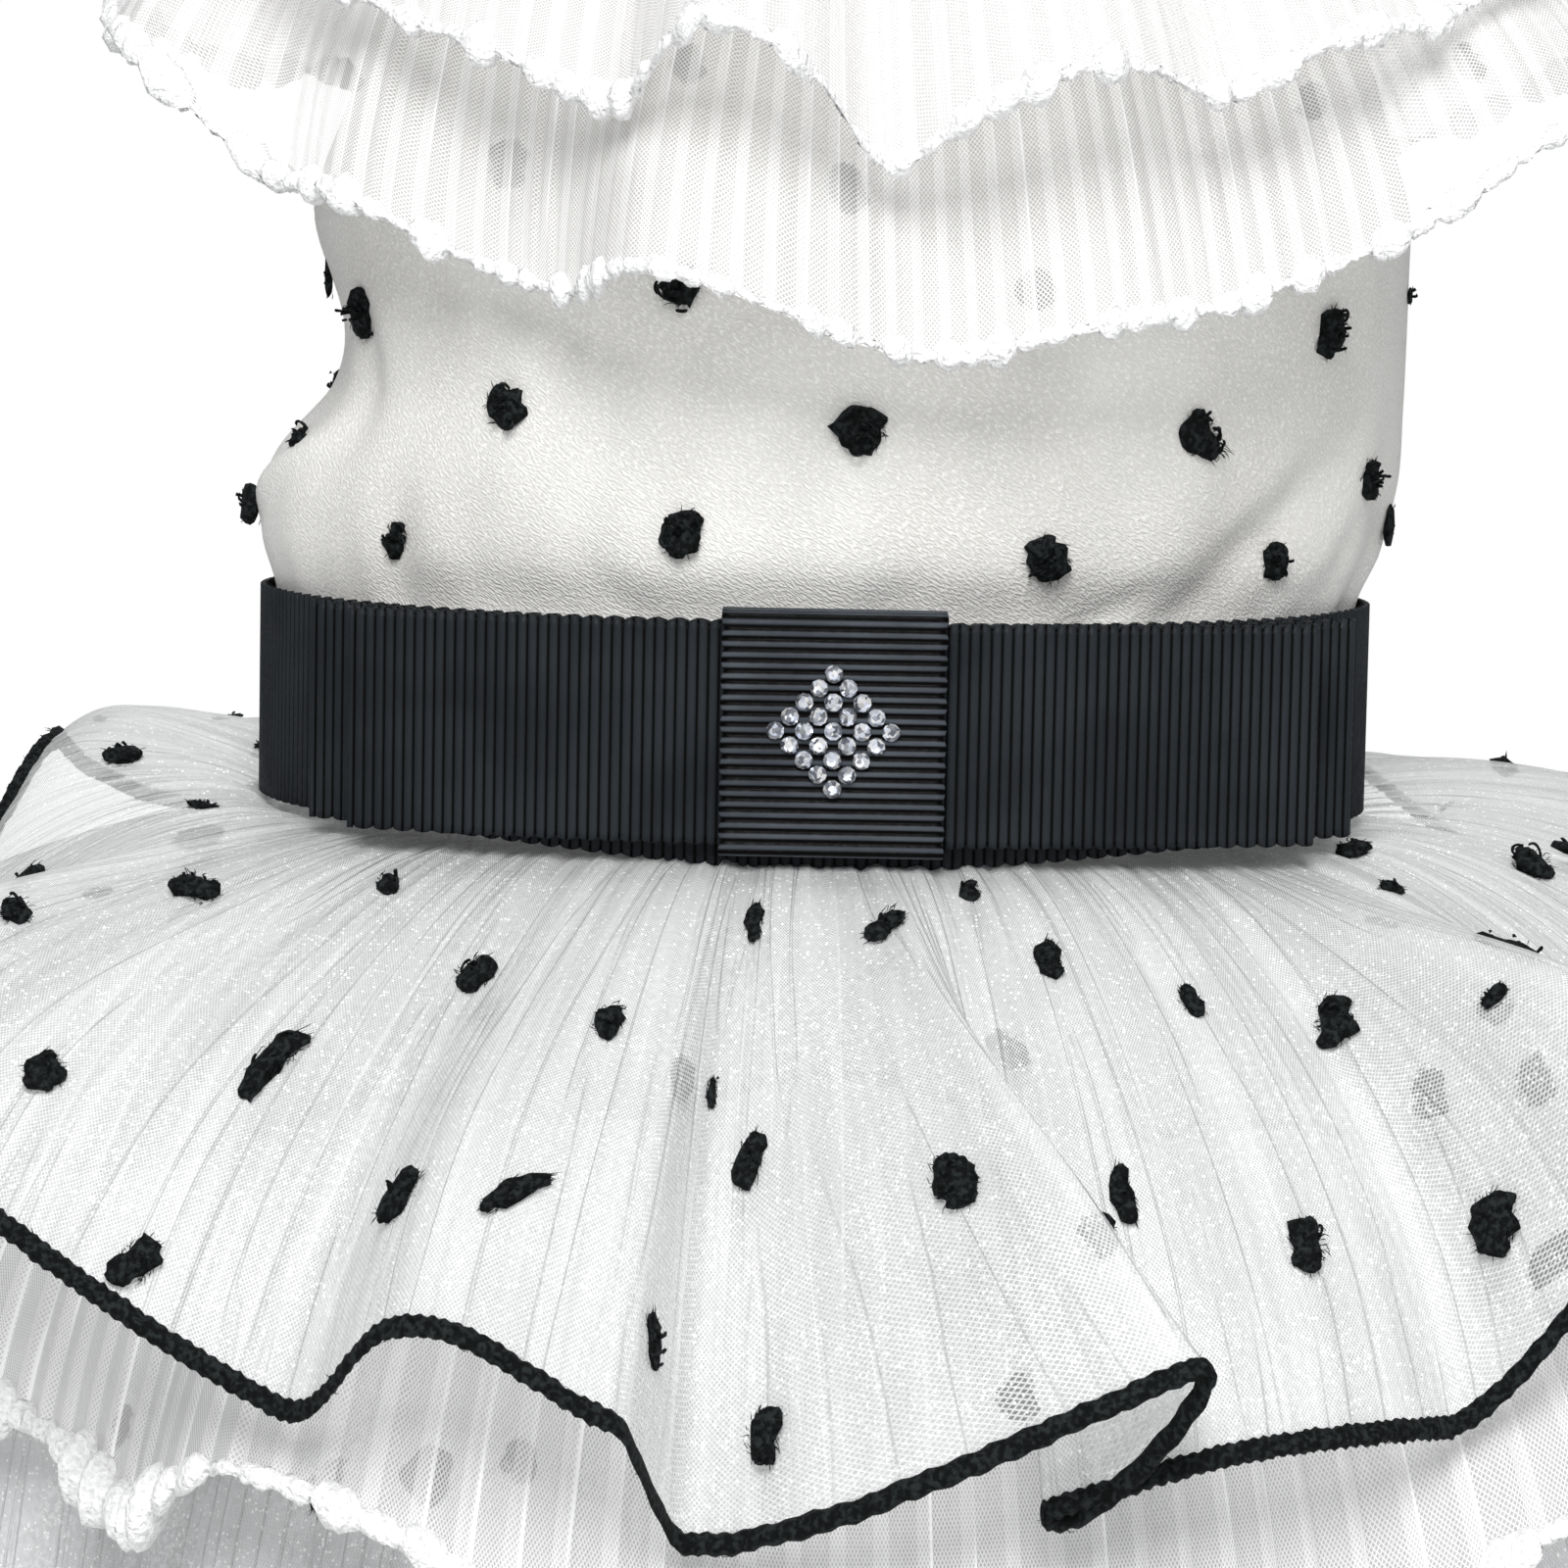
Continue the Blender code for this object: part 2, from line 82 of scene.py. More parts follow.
def set_camera():
    camera = bpy.data.objects.new("photo_camera", bpy.data.cameras.new("photo_camera"))
    bpy.context.scene.collection.objects.link(camera)
    camera.data.sensor_width = 36.0
    camera.data.lens = LENS_PIXELS / PHOTO_PIXELS * 36.0
    camera.data.clip_start = 0.01
    camera.location = VIEW_TARGET + VIEW_BACK * VIEW_DISTANCE
    camera.rotation_mode = "QUATERNION"
    aim = (-VIEW_BACK).to_track_quat("-Z", "Y")
    camera.rotation_quaternion = Quaternion(VIEW_BACK, VIEW_ROLL) @ aim
    bpy.context.scene.camera = camera
    return camera


CAMERA = set_camera()


def line_of_sight(x, y):
    """Where the camera stands, and the direction in which it sees a pixel of the photograph."""
    turn = CAMERA.rotation_quaternion
    half = PHOTO_PIXELS / 2.0
    return CAMERA.location, (turn @ Vector((x - half, half - y, -LENS_PIXELS))).normalized()


# Belt and neck outlines, as in the frame, and the top of the tiers, tucked up behind the belt
BELT_HALF_WIDTH = 66.7 * MM
BELT_HALF_DEPTH = 51.5 * MM
BELT_LOW = -13.0 * MM
BELT_HIGH = 12.0 * MM
BELT_FLARE = 0.8 * MM
NECK_HALF_WIDTH = 42.0 * MM
NECK_HALF_DEPTH = 37.0 * MM
NECK_HEIGHT = 110.0 * MM
LEAN = 5.6 * MM
FRILL_EASE = 0.4 * MM
FRILL_SWAY = 4.0 * MM
TIER_TOP = -5.0 * MM
TUCK = 0.12

# Bodice outline at each height, in millimetres
Section = namedtuple("Section", "height half_width half_depth shift_x")
BODICE_SECTIONS = (
    Section(-12.3, 61.0, 45.8, 0.0),
    Section(-3.0, 61.0, 45.8, 0.0),
    Section(5.0, 63.6, 48.4, 0.0),
    Section(12.6, 64.5, 49.3, 0.2),
    Section(18.0, 66.2, 51.0, 1.0),
    Section(27.0, 66.8, 51.8, 2.4),
    Section(36.0, 65.2, 52.0, 4.3),
    Section(50.0, 65.0, 52.0, 4.7),
    Section(64.0, 64.8, 51.4, 4.8),
    Section(78.0, 62.2, 49.4, 5.0),
    Section(92.0, 56.0, 45.0, 5.3),
    Section(100.0, 50.0, 41.6, 5.5),
    Section(105.0, 43.2, 37.8, 5.6),
    Section(110.0, 42.0, 37.0, 5.6),
)

# Soft dents and swellings of the worn bodice, then the fine puckers above the belt
Swell = namedtuple("Swell", "azimuth height half_angle half_height out")
BODICE_SWELLS = (
    Swell(-92.0, 41.0, 42.0, 16.0, -4.6),
    Swell(-72.0, 22.0, 34.0, 13.0, 1.4),
    Swell(-48.0, 34.0, 16.0, 30.0, -1.5),
    Swell(58.0, 30.0, 20.0, 26.0, -1.4),
    Swell(150.0, 30.0, 30.0, 22.0, -1.6),
    Swell(-145.0, 36.0, 26.0, 20.0, -1.4),
    Swell(-60.0, 22.0, 9.0, 24.0, -0.9),
    Swell(-36.0, 20.0, 8.0, 18.0, -0.7),
    Swell(-14.0, 18.0, 10.0, 10.0, 0.5),
    Swell(26.0, 20.0, 9.0, 16.0, -0.6),
    Swell(44.0, 24.0, 7.0, 22.0, -0.9),
    Swell(74.0, 26.0, 8.0, 24.0, -0.8),
)

# Slanting creases that the photograph shows on the bodice: lean is degrees of azimuth for each millimetre up
Crease = namedtuple("Crease", "azimuth height lean half_angle half_height out")
BODICE_CREASES = (
    Crease(49.0, 22.0, 1.0, 8.5, 15.0, -1.7),
    Crease(62.0, 22.0, 0.7, 6.5, 16.0, 0.8),
    Crease(78.0, 20.0, 0.3, 6.0, 18.0, -0.8),
    Crease(30.0, 13.0, 1.4, 5.0, 9.0, -0.5),
    Crease(-62.0, 38.0, -0.3, 5.5, 14.0, -1.3),
    Crease(-74.0, 26.0, 1.6, 7.0, 8.0, 1.2),
    Crease(-49.0, 19.0, -0.2, 5.5, 15.0, -1.0),
    Crease(-40.0, 16.0, -0.4, 4.5, 12.0, 0.4),
    Crease(-20.0, 14.0, -0.8, 4.5, 9.0, -0.4),
    Crease(6.0, 13.0, 0.5, 5.0, 8.0, -0.35),
    Crease(-10.0, 46.0, 3.0, 9.0, 8.0, -0.5),
    Crease(36.0, 44.0, -2.0, 8.0, 9.0, -0.5),
)
ARMHOLE_LOW = 56.0 * MM
ARMHOLE_HIGH = 94.0 * MM
ARMHOLE_HALF_ANGLE = math.radians(23.0)

# Flared layers: reach, hem and crest are given at the front, the sides and the back, in millimetres
Layer = namedtuple("Layer", "half_width half_depth shift sway start reach hem crest folds")

# A fold lifts its layer, and may lap it round the body, make it shorter or dip its crest. Angles in degrees
Fold = namedtuple("Fold", "azimuth left right lift lap short dip", defaults=(0.0, 0.0, 0.0))
LAP_LEFT = 12.2
LAP_RIGHT = 5.8

TIER_1_FOLDS = (
    Fold(-51.8, 18.0, 46.8, 25.0),
    Fold(-17.4, 7.5, 10.1, 14.0),
    Fold(-8.2, 12.9, 2.4, 13.7),
    Fold(6.0, 11.5, 4.1, 19.3, 10.6),
    Fold(20.9, 18.8, 25.5, 8.5),
    Fold(41.5, 9.0, 15.0, 28.0),
    Fold(78.0, 9.0, 9.0, 6.0),
    Fold(84.0, 24.0, 40.0, 0.0, 0.0, 0.0, 6.0),
    Fold(116.0, 20.0, 17.0, 7.0),
    Fold(150.0, 14.0, 12.0, 8.0),
    Fold(177.0, 15.0, 13.0, 9.0),
    Fold(-156.0, 14.0, 15.0, 8.0),
    Fold(-100.8, 48.0, 53.8, 26.0, 0.0, 0.54),
    Fold(-85.0, 21.9, 32.2, -15.0),
)
TIER_2_FOLDS = (
    Fold(-50.9, 15.9, 24.1, -3.7, 0.0, 0.14),
    Fold(-27.7, 13.2, 28.0, 10.1, 0.0, 0.10),
    Fold(42.0, 16.0, 14.0, 11.0),
    Fold(78.0, 10.0, 9.0, 3.0),
    Fold(119.0, 13.0, 13.0, 6.0),
    Fold(150.0, 11.0, 10.0, 5.0),
    Fold(177.0, 12.0, 10.0, 6.0),
    Fold(-156.0, 11.0, 12.0, 5.0),
    Fold(-129.0, 10.0, 11.0, 6.0),
    Fold(-102.0, 10.0, 10.0, 6.0),
    Fold(-77.0, 12.0, 12.0, -3.0),
)
TIER_3_FOLDS = (
    Fold(-52.0, 20.0, 20.0, -9.0),
    Fold(-20.0, 12.0, 12.0, 1.0),
    Fold(10.0, 12.0, 12.0, -3.0),
    Fold(58.0, 18.0, 12.0, 5.0),
    Fold(76.0, 12.0, 10.0, 4.0),
    Fold(120.0, 12.0, 12.0, 4.0),
    Fold(150.0, 12.0, 12.0, 3.0),
    Fold(178.0, 12.0, 12.0, 4.0),
    Fold(-155.0, 12.0, 12.0, 3.0),
    Fold(-128.0, 11.0, 11.0, 4.0),
    Fold(-102.0, 11.0, 11.0, 4.0),
    Fold(-78.0, 12.0, 12.0, -4.0),
)
LOWER_FRILL_FOLDS = (
    Fold(-96.1, 22.7, 15.5, 5.5),
    Fold(-75.6, 10.9, 12.0, 6.0),
    Fold(-64.5, 10.1, 17.7, -9.9),
    Fold(-42.5, 16.1, 20.1, -8.2),
    Fold(-18.1, 15.2, 24.0, 11.0),
    Fold(16.7, 18.4, 11.6, 4.0),
    Fold(51.3, 9.0, 12.9, 3.0),
    Fold(61.0, 24.8, 20.0, 7.0),
    Fold(108.0, 20.0, 22.0, 6.0),
    Fold(152.0, 20.0, 20.0, 9.0),
    Fold(-166.0, 20.0, 20.0, 8.0),
    Fold(-130.0, 18.0, 18.0, 7.0),
)
UPPER_FRILL_FOLDS = (
    Fold(-66.0, 18.0, 16.0, 14.0),
    Fold(-37.5, 8.6, 14.2, 2.0),
    Fold(-13.7, 12.8, 16.8, 19.4),
    Fold(-2.7, 5.3, 6.1, -6.8),
    Fold(12.9, 18.6, 16.8, 14.0),
    Fold(32.7, 11.2, 18.8, 8.2),
    Fold(68.0, 28.0, 21.0, 13.0),
    Fold(116.0, 20.0, 18.0, 10.0),
    Fold(154.0, 18.0, 18.0, 15.0),
    Fold(-165.0, 18.0, 18.0, 14.0),
    Fold(-118.0, 18.0, 22.0, 10.0),
)


def skirt_layer(step, start, reach, hem, crest, folds):
    inset = step * LAYER_STEP + CLOTH / 2.0
    return Layer(
        BELT_HALF_WIDTH - inset, BELT_HALF_DEPTH - inset, 0.0, 0.0, start * MM, reach, hem, crest, folds
    )


def frill_layer(step, start, reach, hem, crest, folds):
    out = step * LAYER_STEP + FRILL_EASE
    return Layer(
        NECK_HALF_WIDTH + out, NECK_HALF_DEPTH + out, LEAN, FRILL_SWAY, start * MM, reach, hem, crest, folds
    )


TIER_1 = skirt_layer(1, -14.6, (54, 66, 74), (-79, -43, -25), (-13, -7, -4), TIER_1_FOLDS)
TIER_2 = skirt_layer(2, -17.0, (55, 69, 79), (-97, -66, -48), (-17, -15, -14), TIER_2_FOLDS)
TIER_3 = skirt_layer(3, -19.6, (51, 69, 80), (-115, -90, -72), (-22, -23, -23), TIER_3_FOLDS)
LOWER_FRILL = frill_layer(1, 108.0, (25, 49, 33), (41, 75, 54), (102, 108, 104), LOWER_FRILL_FOLDS)
UPPER_FRILL = frill_layer(2, 110.0, (30, 41, 37), (63, 96, 78), (107, 112, 109), UPPER_FRILL_FOLDS)


# Shapes


def smooth_step(share):
    share = min(1.0, max(0.0, share))
    return share * share * (3.0 - 2.0 * share)


def bump(share):
    return math.cos(math.pi / 2.0 * share) ** 2 if abs(share) < 1.0 else 0.0


def turned(angle):
    return (angle + math.pi) % (2.0 * math.pi) - math.pi


def chance(first, second):
    """A fixed number between 0 and 1 that looks random, for these two seeds."""
    return noise.cell(Vector((first, second, 0.5)) * 7.31)


def around(sizes, azimuth):
    """A size that passes smoothly through its values at the front, the sides and the back."""
    front, side, back = (size * MM for size in sizes)
    even = (front + back) / 4.0
    swing = (front - back) / 2.0 * math.cos(azimuth)
    return even + side / 2.0 + swing + (even - side / 2.0) * math.cos(2.0 * azimuth)


def bezier(guides, t):
    u = 1.0 - t
    return tuple(
        u**3 * a + 3 * u * u * t * b + 3 * u * t * t * c + t**3 * d for a, b, c, d in zip(*guides)
    )


def bezier_normal(guides, t):
    u = 1.0 - t
    run, fall = (
        3 * u * u * (b - a) + 6 * u * t * (c - b) + 3 * t * t * (d - c) for a, b, c, d in zip(*guides)
    )
    long = math.hypot(run, fall)
    return -fall / long, run / long


@lru_cache(maxsize=None)
def layer_at(layer, azimuth):
    """The curve of a layer from seam to hem at one azimuth, with its lift and its push round the body."""
    lift = lap = short = dip = 0.0
    for fold in layer.folds:
        off = math.degrees(turned(azimuth - math.radians(fold.azimuth)))
        near = bump(off / (fold.left if off < 0.0 else fold.right))
        lift += fold.lift * near
        short += fold.short * near
        dip += fold.dip * near * MM
        lap += fold.lap * bump(off / (LAP_LEFT if off < 0.0 else LAP_RIGHT))
    reach = around(layer.reach, azimuth) * (1.0 - short)
    hem = layer.start + (around(layer.hem, azimuth) - layer.start) * (1.0 - short)
    crest = around(layer.crest, azimuth) - dip
    guides = (
        (0.0, layer.start),
        (0.38 * reach, crest),
        (0.86 * reach, hem + 0.48 * (crest - hem)),
        (reach, hem),
    )
    return guides, math.radians(lift), math.radians(lap)


def oval(half_width, half_depth, shift_x, azimuth, height):
    x = shift_x + half_width * math.sin(azimuth)
    return Vector((x, -half_depth * math.cos(azimuth), height - BELT_BELOW_NECK))


def layer_point(layer, azimuth, along, raised=0.0):
    """A point of a flared layer, raised off its middle surface. Below 0, along is up behind the belt."""
    if along < 0.0:
        height = layer.start + (TIER_TOP - layer.start) * -along / TUCK
        return oval(layer.half_width, layer.half_depth, layer.shift, azimuth, height)
    guides, lift, lap = layer_at(layer, azimuth)
    out, height = bezier(guides, along)
    side, up = bezier_normal(guides, along)
    out += side * raised
    height += up * raised
    lift *= smooth_step(along * 1.15)
    rise = height - layer.start
    swung_out = out * math.cos(lift) - rise * math.sin(lift)
    swung_up = out * math.sin(lift) + rise * math.cos(lift)
    return oval(
        layer.half_width + swung_out,
        layer.half_depth + swung_out,
        layer.shift + layer.sway * along,
        azimuth + lap * along**2,
        layer.start + swung_up,
    )


def eased(values, place):
    """A value read from evenly numbered knots by a smooth curve through them."""
    low = min(max(int(place), 0), len(values) - 2)
    t = place - low
    p0, p1, p2, p3 = (values[min(max(low + k, 0), len(values) - 1)] for k in (-1, 0, 1, 2))
    return 0.5 * (
        2 * p1 + (p2 - p0) * t + (2 * p0 - 5 * p1 + 4 * p2 - p3) * t * t + (3 * p1 - p0 - 3 * p2 + p3) * t**3
    )


@lru_cache(maxsize=None)
def section_at(height):
    heights = [section.height for section in BODICE_SECTIONS]
    level = height / MM
    low = max(i for i, value in enumerate(heights[:-1]) if value <= level + 1e-6 or i == 0)
    place = low + (level - heights[low]) / (heights[low + 1] - heights[low])
    return tuple(eased([section[k] for section in BODICE_SECTIONS], place) * MM for k in (1, 2, 3))


def bodice_point(azimuth, height, raised=0.0):
    """A point of the bodice, raised off its middle surface, with its dents, creases and small puckers."""
    half_width, half_depth, shift = section_at(height)
    out = 0.0
    for swell in BODICE_SWELLS:
        off = math.degrees(turned(azimuth - math.radians(swell.azimuth)))
        rise = height / MM - swell.height
        out += swell.out * bump(off / swell.half_angle) * bump(rise / swell.half_height)
    for crease in BODICE_CREASES:
        rise = height / MM - crease.height
        off = math.degrees(turned(azimuth - math.radians(crease.azimuth + crease.lean * rise)))
        out += crease.out * bump(off / crease.half_angle) * bump(rise / crease.half_height)
    pucker = noise.noise(Vector((azimuth * 9.0, height * 16.0, 3.0)))
    out += 0.55 * pucker * bump((height / MM - 16.0) / 40.0)
    out = out * MM + raised
    return oval(half_width + out, half_depth + out, shift, azimuth, height)


def bodice_edge(height):
    """How far the panel's side edge turns in from the side seam at this height, for the armhole."""
    share = (height - ARMHOLE_LOW) / (ARMHOLE_HIGH - ARMHOLE_LOW)
    if not 0.0 < share < 1.0:
        return 0.0
    return ARMHOLE_HALF_ANGLE * math.sin(math.pi * share) ** 0.6


def half_azimuth(side, across, trim=0.0):
    """The azimuth at a share of the front (side 0) or back half, trimmed at both of its ends."""
    return math.pi * side + (across - 0.5) * (math.pi - 2.0 * trim)


# Making pieces


def finish_piece(name, shape, finish, smooth=True):
    """A named object from a finished shape, riding on the dress's one body."""
    mesh = bpy.data.meshes.new(name)
    shape.to_mesh(mesh)
    shape.free()
    if smooth:
        mesh.shade_smooth()
    piece = bpy.data.objects.new(name, mesh)
    bpy.context.scene.collection.objects.link(piece)
    piece.data.materials.append(finish)
    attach(piece, "root")
    return piece


def as_laid(across, down):
    return across, down


def laid_grid(columns, rows, place, print_at, closed_across=False, closed_down=False):
    """A flat grid moved onto place(across, down), with its print coordinates from print_at(across, down)."""
    shape = bmesh.new()
    bmesh.ops.create_grid(shape, x_segments=columns, y_segments=rows, size=1.0)
    prints = shape.loops.layers.uv.new("print")
    flat = {vert: ((vert.co.x + 1.0) / 2.0, (1.0 - vert.co.y) / 2.0) for vert in shape.verts}
    for face in shape.faces:
        for loop in face.loops:
            loop[prints].uv = print_at(*flat[loop.vert])
    for vert, (across, down) in flat.items():
        vert.co = place(across, down)
    if closed_across or closed_down:
        bmesh.ops.remove_doubles(shape, verts=shape.verts, dist=WELD)
    return shape


def thicken(piece, thickness):
    wall = piece.modifiers.new("wall", "SOLIDIFY")
    wall.thickness = thickness
    wall.offset = 0.0


# Finishes


def add_node(tree, kind, inputs, **settings):
    """A shader node with its settings and its inputs, each a link, a number or a colour, by name or place."""
    node = tree.nodes.new("ShaderNode" + kind)
    for key, value in settings.items():
        setattr(node, key, value)
    for key, value in inputs.items():
        if isinstance(value, bpy.types.NodeSocket):
            tree.links.new(value, node.inputs[key])
        else:
            node.inputs[key].default_value = (*value, 1.0) if isinstance(value, tuple) else value
    return node


def calc(tree, operation, *values):
    return add_node(tree, "Math", dict(enumerate(values)), operation=operation).outputs[0]


def times(tree, first, second):
    return calc(tree, "MULTIPLY", first, second)


def blend_values(tree, share, first, second):
    return add_node(tree, "Mix", {0: share, 2: first, 3: second}).outputs[0]


def blend_colours(tree, share, first, second):
    return add_node(tree, "Mix", {0: share, 6: first, 7: second}, data_type="RGBA").outputs[2]


def map_range(tree, value, low, high, to_low=0.0, to_high=1.0):
    inputs = dict(enumerate((value, low, high, to_low, to_high)))
    return add_node(tree, "MapRange", inputs, interpolation_type="SMOOTHSTEP").outputs[0]


def object_place(tree):
    return add_node(tree, "TexCoord", {}).outputs["Object"]


def flat_place(tree, across, down):
    return add_node(tree, "CombineXYZ", {0: across, 1: down}).outputs[0]


def cloud(tree, place, scale, detail):
    return add_node(tree, "TexNoise", {"Vector": place, "Scale": scale, "Detail": detail}).outputs["Fac"]


def print_axes(tree, across, down):
    """The print coordinates of a piece, times a number or a link for each direction."""
    coords = add_node(tree, "TexCoord", {})
    split = add_node(tree, "SeparateXYZ", {0: coords.outputs["UV"]})
    return times(tree, split.outputs[0], across), times(tree, split.outputs[1], down)


def new_group(name, takes, gives):
    """An effect that finishes share: takes has its inputs with their defaults, gives its outputs' names."""
    group = bpy.data.node_groups.new(name, "ShaderNodeTree")
    for socket, default in takes.items():
        made = group.interface.new_socket(socket, in_out="INPUT", socket_type="NodeSocketFloat")
        made.default_value = default
    for socket in gives:
        group.interface.new_socket(socket, in_out="OUTPUT", socket_type="NodeSocketFloat")
    entry = group.nodes.new("NodeGroupInput")
    leave = group.nodes.new("NodeGroupOutput")
    return group, entry.outputs, leave.inputs


def make_sparkle_group():
    """Tiny specks of glitter scattered in the cloth, which the finishes paint bright as a painted sparkle
    highlight, and a soft grain. Size is in millimetres.
    """
    group, takes, gives = new_group("cloth_sparkle", {"Size": 0.4, "Share": 0.1}, ["Specks", "Grain"])
    place = object_place(group)
    scale = calc(group, "DIVIDE", 1.0 / MM, takes["Size"])
    cells = add_node(group, "TexVoronoi", {"Vector": place, "Scale": scale})
    own = add_node(group, "SeparateColor", {0: cells.outputs["Color"]}).outputs[0]
    lit = calc(group, "LESS_THAN", own, takes["Share"])
    near = map_range(group, cells.outputs["Distance"], 0.30, 0.55, 1.0, 0.0)
    group.links.new(times(group, lit, near), gives["Specks"])
    group.links.new(cloud(group, place, times(group, scale, 0.6), 2.0), gives["Grain"])
    return group


def make_net_group():
    """Fine threads that cross at a slant: gives how much of the cloth is thread."""
    takes = {"Threads across": 8.0, "Threads down": 100.0, "Width": 0.5}
    group, takes, gives = new_group("net_threads", takes, ["Thread"])
    across, down = print_axes(group, takes["Threads across"], takes["Threads down"])
    gap = calc(group, "SUBTRACT", 1.0, takes["Width"])
    threads = []
    for operation in ("ADD", "SUBTRACT"):
        wave = calc(group, "PINGPONG", calc(group, operation, across, down), 0.5)
        threads.append(calc(group, "SUBTRACT", times(group, wave, 2.0), gap))
    top = calc(group, "MAXIMUM", *threads)
    group.links.new(map_range(group, top, -0.15, 0.15), gives["Thread"])
    return group


def make_streak_group():
    """Streaks that run down the cloth from its gathers: broad ones, fine ones and thin crease lines, masks
    for the finishes' painted shade and highlight.
    """
    group, takes, gives = new_group("gather_streaks", {"Count": 40.0}, ["Broad", "Fine", "Lines"])
    for name, finer, run in (("Broad", 1.0, 0.8), ("Fine", 4.5, 2.6), ("Lines", 1.7, 0.9)):
        across, down = print_axes(group, times(group, takes["Count"], finer), run)
        streaks = cloud(group, flat_place(group, across, down), 1.0, 1.5)
        if name == "Lines":
            off = calc(group, "ABSOLUTE", calc(group, "SUBTRACT", streaks, 0.5))
            mask = map_range(group, off, 0.004, 0.022, 1.0, 0.0)
        else:
            mask = map_range(group, streaks, 0.32, 0.68)
        group.links.new(mask, gives[name])
    return group


def make_twill_group():
    """Diagonal satin twill on a print of the given millimetres: short raised threads in slanting rows, which
    the satin paints lighter as a painted sheen, with painted glint highlights on them.
    """
    group, takes, gives = new_group("satin_twill", {"Across": 190.0, "Down": 126.0}, ["Twill", "Glints"])
    across, down = print_axes(group, takes["Across"], takes["Down"])
    slant = math.radians(33.0)
    flat = math.cos(slant)
    steep = math.sin(slant)
    along = calc(group, "ADD", times(group, across, flat), times(group, down, steep))
    over = calc(group, "SUBTRACT", times(group, down, flat), times(group, across, steep))
    place = flat_place(group, times(group, along, 1.5), times(group, over, 4.2))
    threads = cloud(group, place, 1.0, 1.0)
    group.links.new(map_range(group, threads, 0.36, 0.64), gives["Twill"])
    # Glints: spots on the threads that the satin paints near white, a painted glint highlight
    group.links.new(map_range(group, threads, 0.62, 0.72), gives["Glints"])
    return group


def make_pleat_group():
    """Knife pleats across the print: the folded edge, the lapped part and a tone for each pleat."""
    group, takes, gives = new_group("pleat_shade", {"Overlap": 0.35}, ["Edge", "Overlap", "Tone"])
    across, _ = print_axes(group, 1.0, 1.0)
    share = calc(group, "FRACT", across)
    group.links.new(map_range(group, share, 0.86, 0.96), gives["Edge"])
    single = calc(group, "SUBTRACT", 1.0, takes["Overlap"])
    group.links.new(calc(group, "GREATER_THAN", share, single), gives["Overlap"])
    own = add_node(group, "TexWhiteNoise", {}, noise_dimensions="1D")
    group.links.new(calc(group, "FLOOR", across), own.inputs["W"])
    group.links.new(own.outputs["Value"], gives["Tone"])
    return group


def make_drift_group():
    """Slow, uneven change of tone over a piece: random tone, dust on the organza, and blotches of painted
    shade on the satin. Size is in millimetres.
    """
    group, takes, gives = new_group("slow_drift", {"Size": 20.0}, ["Drift"])
    scale = calc(group, "DIVIDE", 1.0 / MM, takes["Size"])
    slow = cloud(group, object_place(group), scale, 3.0)
    group.links.new(map_range(group, slow, 0.3, 0.7), gives["Drift"])
    return group


GROUPS = {
    "sparkle": make_sparkle_group(),
    "net": make_net_group(),
    "pleat": make_pleat_group(),
    "drift": make_drift_group(),
    "streak": make_streak_group(),
    "twill": make_twill_group(),
}


def use_group(tree, key, **values):
    """The outputs of a shared effect, with these values set on its inputs."""
    inputs = {name.replace("_", " "): value for name, value in values.items()}
    return add_node(tree, "Group", inputs, node_tree=GROUPS[key]).outputs


def new_finish(name, roughness, **constants):
    finish = bpy.data.materials.new(name)
    finish.use_nodes = True
    tree = finish.node_tree
    shader = tree.nodes["Principled BSDF"].inputs
    shader["Roughness"].default_value = roughness
    for key, value in constants.items():
        shader[key.replace("_", " ")].default_value = value
    return finish, tree, shader


def add_bump(tree, shader, height, distance):
    relief = add_node(tree, "Bump", {"Strength": 1.0, "Distance": distance, "Height": height})
    tree.links.new(relief.outputs["Normal"], shader["Normal"])


def scaled(tone, factor):
    return tuple(min(1.0, factor * part) for part in tone)


def satin_finish(name="ivory_satin", across=190.0, down=126.0):
    """Ivory satin under its sheer overlay: diagonal twill painted lighter on its raised threads as a painted
    sheen, small painted glints, a slow change of tone and blotches of painted shade.
    """
    finish, tree, shader = new_finish(name, 0.45, Sheen_Weight=0.06, Sheen_Roughness=0.4)
    specks = use_group(tree, "sparkle", Size=0.36, Share=0.13)["Specks"]
    drift = use_group(tree, "drift", Size=24.0)["Drift"]
    # shade: blotches of painted shade
    shade = use_group(tree, "drift", Size=9.0)["Drift"]
    weave = use_group(tree, "twill", Across=across, Down=down)
    base = blend_colours(tree, drift, (0.665, 0.65, 0.62), (0.79, 0.78, 0.75))
    shaded = blend_colours(tree, times(tree, shade, 0.35), base, (0.66, 0.655, 0.64))
    # painted sheen: the raised twill threads are painted lighter
    twill_sheened = blend_colours(tree, times(tree, weave["Twill"], 0.42), shaded, (0.92, 0.91, 0.885))
    # painted glints: sparkle specks and twill glints painted near white
    glint = calc(tree, "MAXIMUM", times(tree, specks, 0.9), weave["Glints"])
    bright = blend_colours(tree, times(tree, glint, 0.6), twill_sheened, (0.99, 0.99, 0.98))
    tree.links.new(bright, shader["Base Color"])
    tree.links.new(map_range(tree, weave["Twill"], 0.0, 1.0, 0.55, 0.34), shader["Roughness"])
    add_bump(tree, shader, weave["Twill"], 0.07 * MM)
    return finish


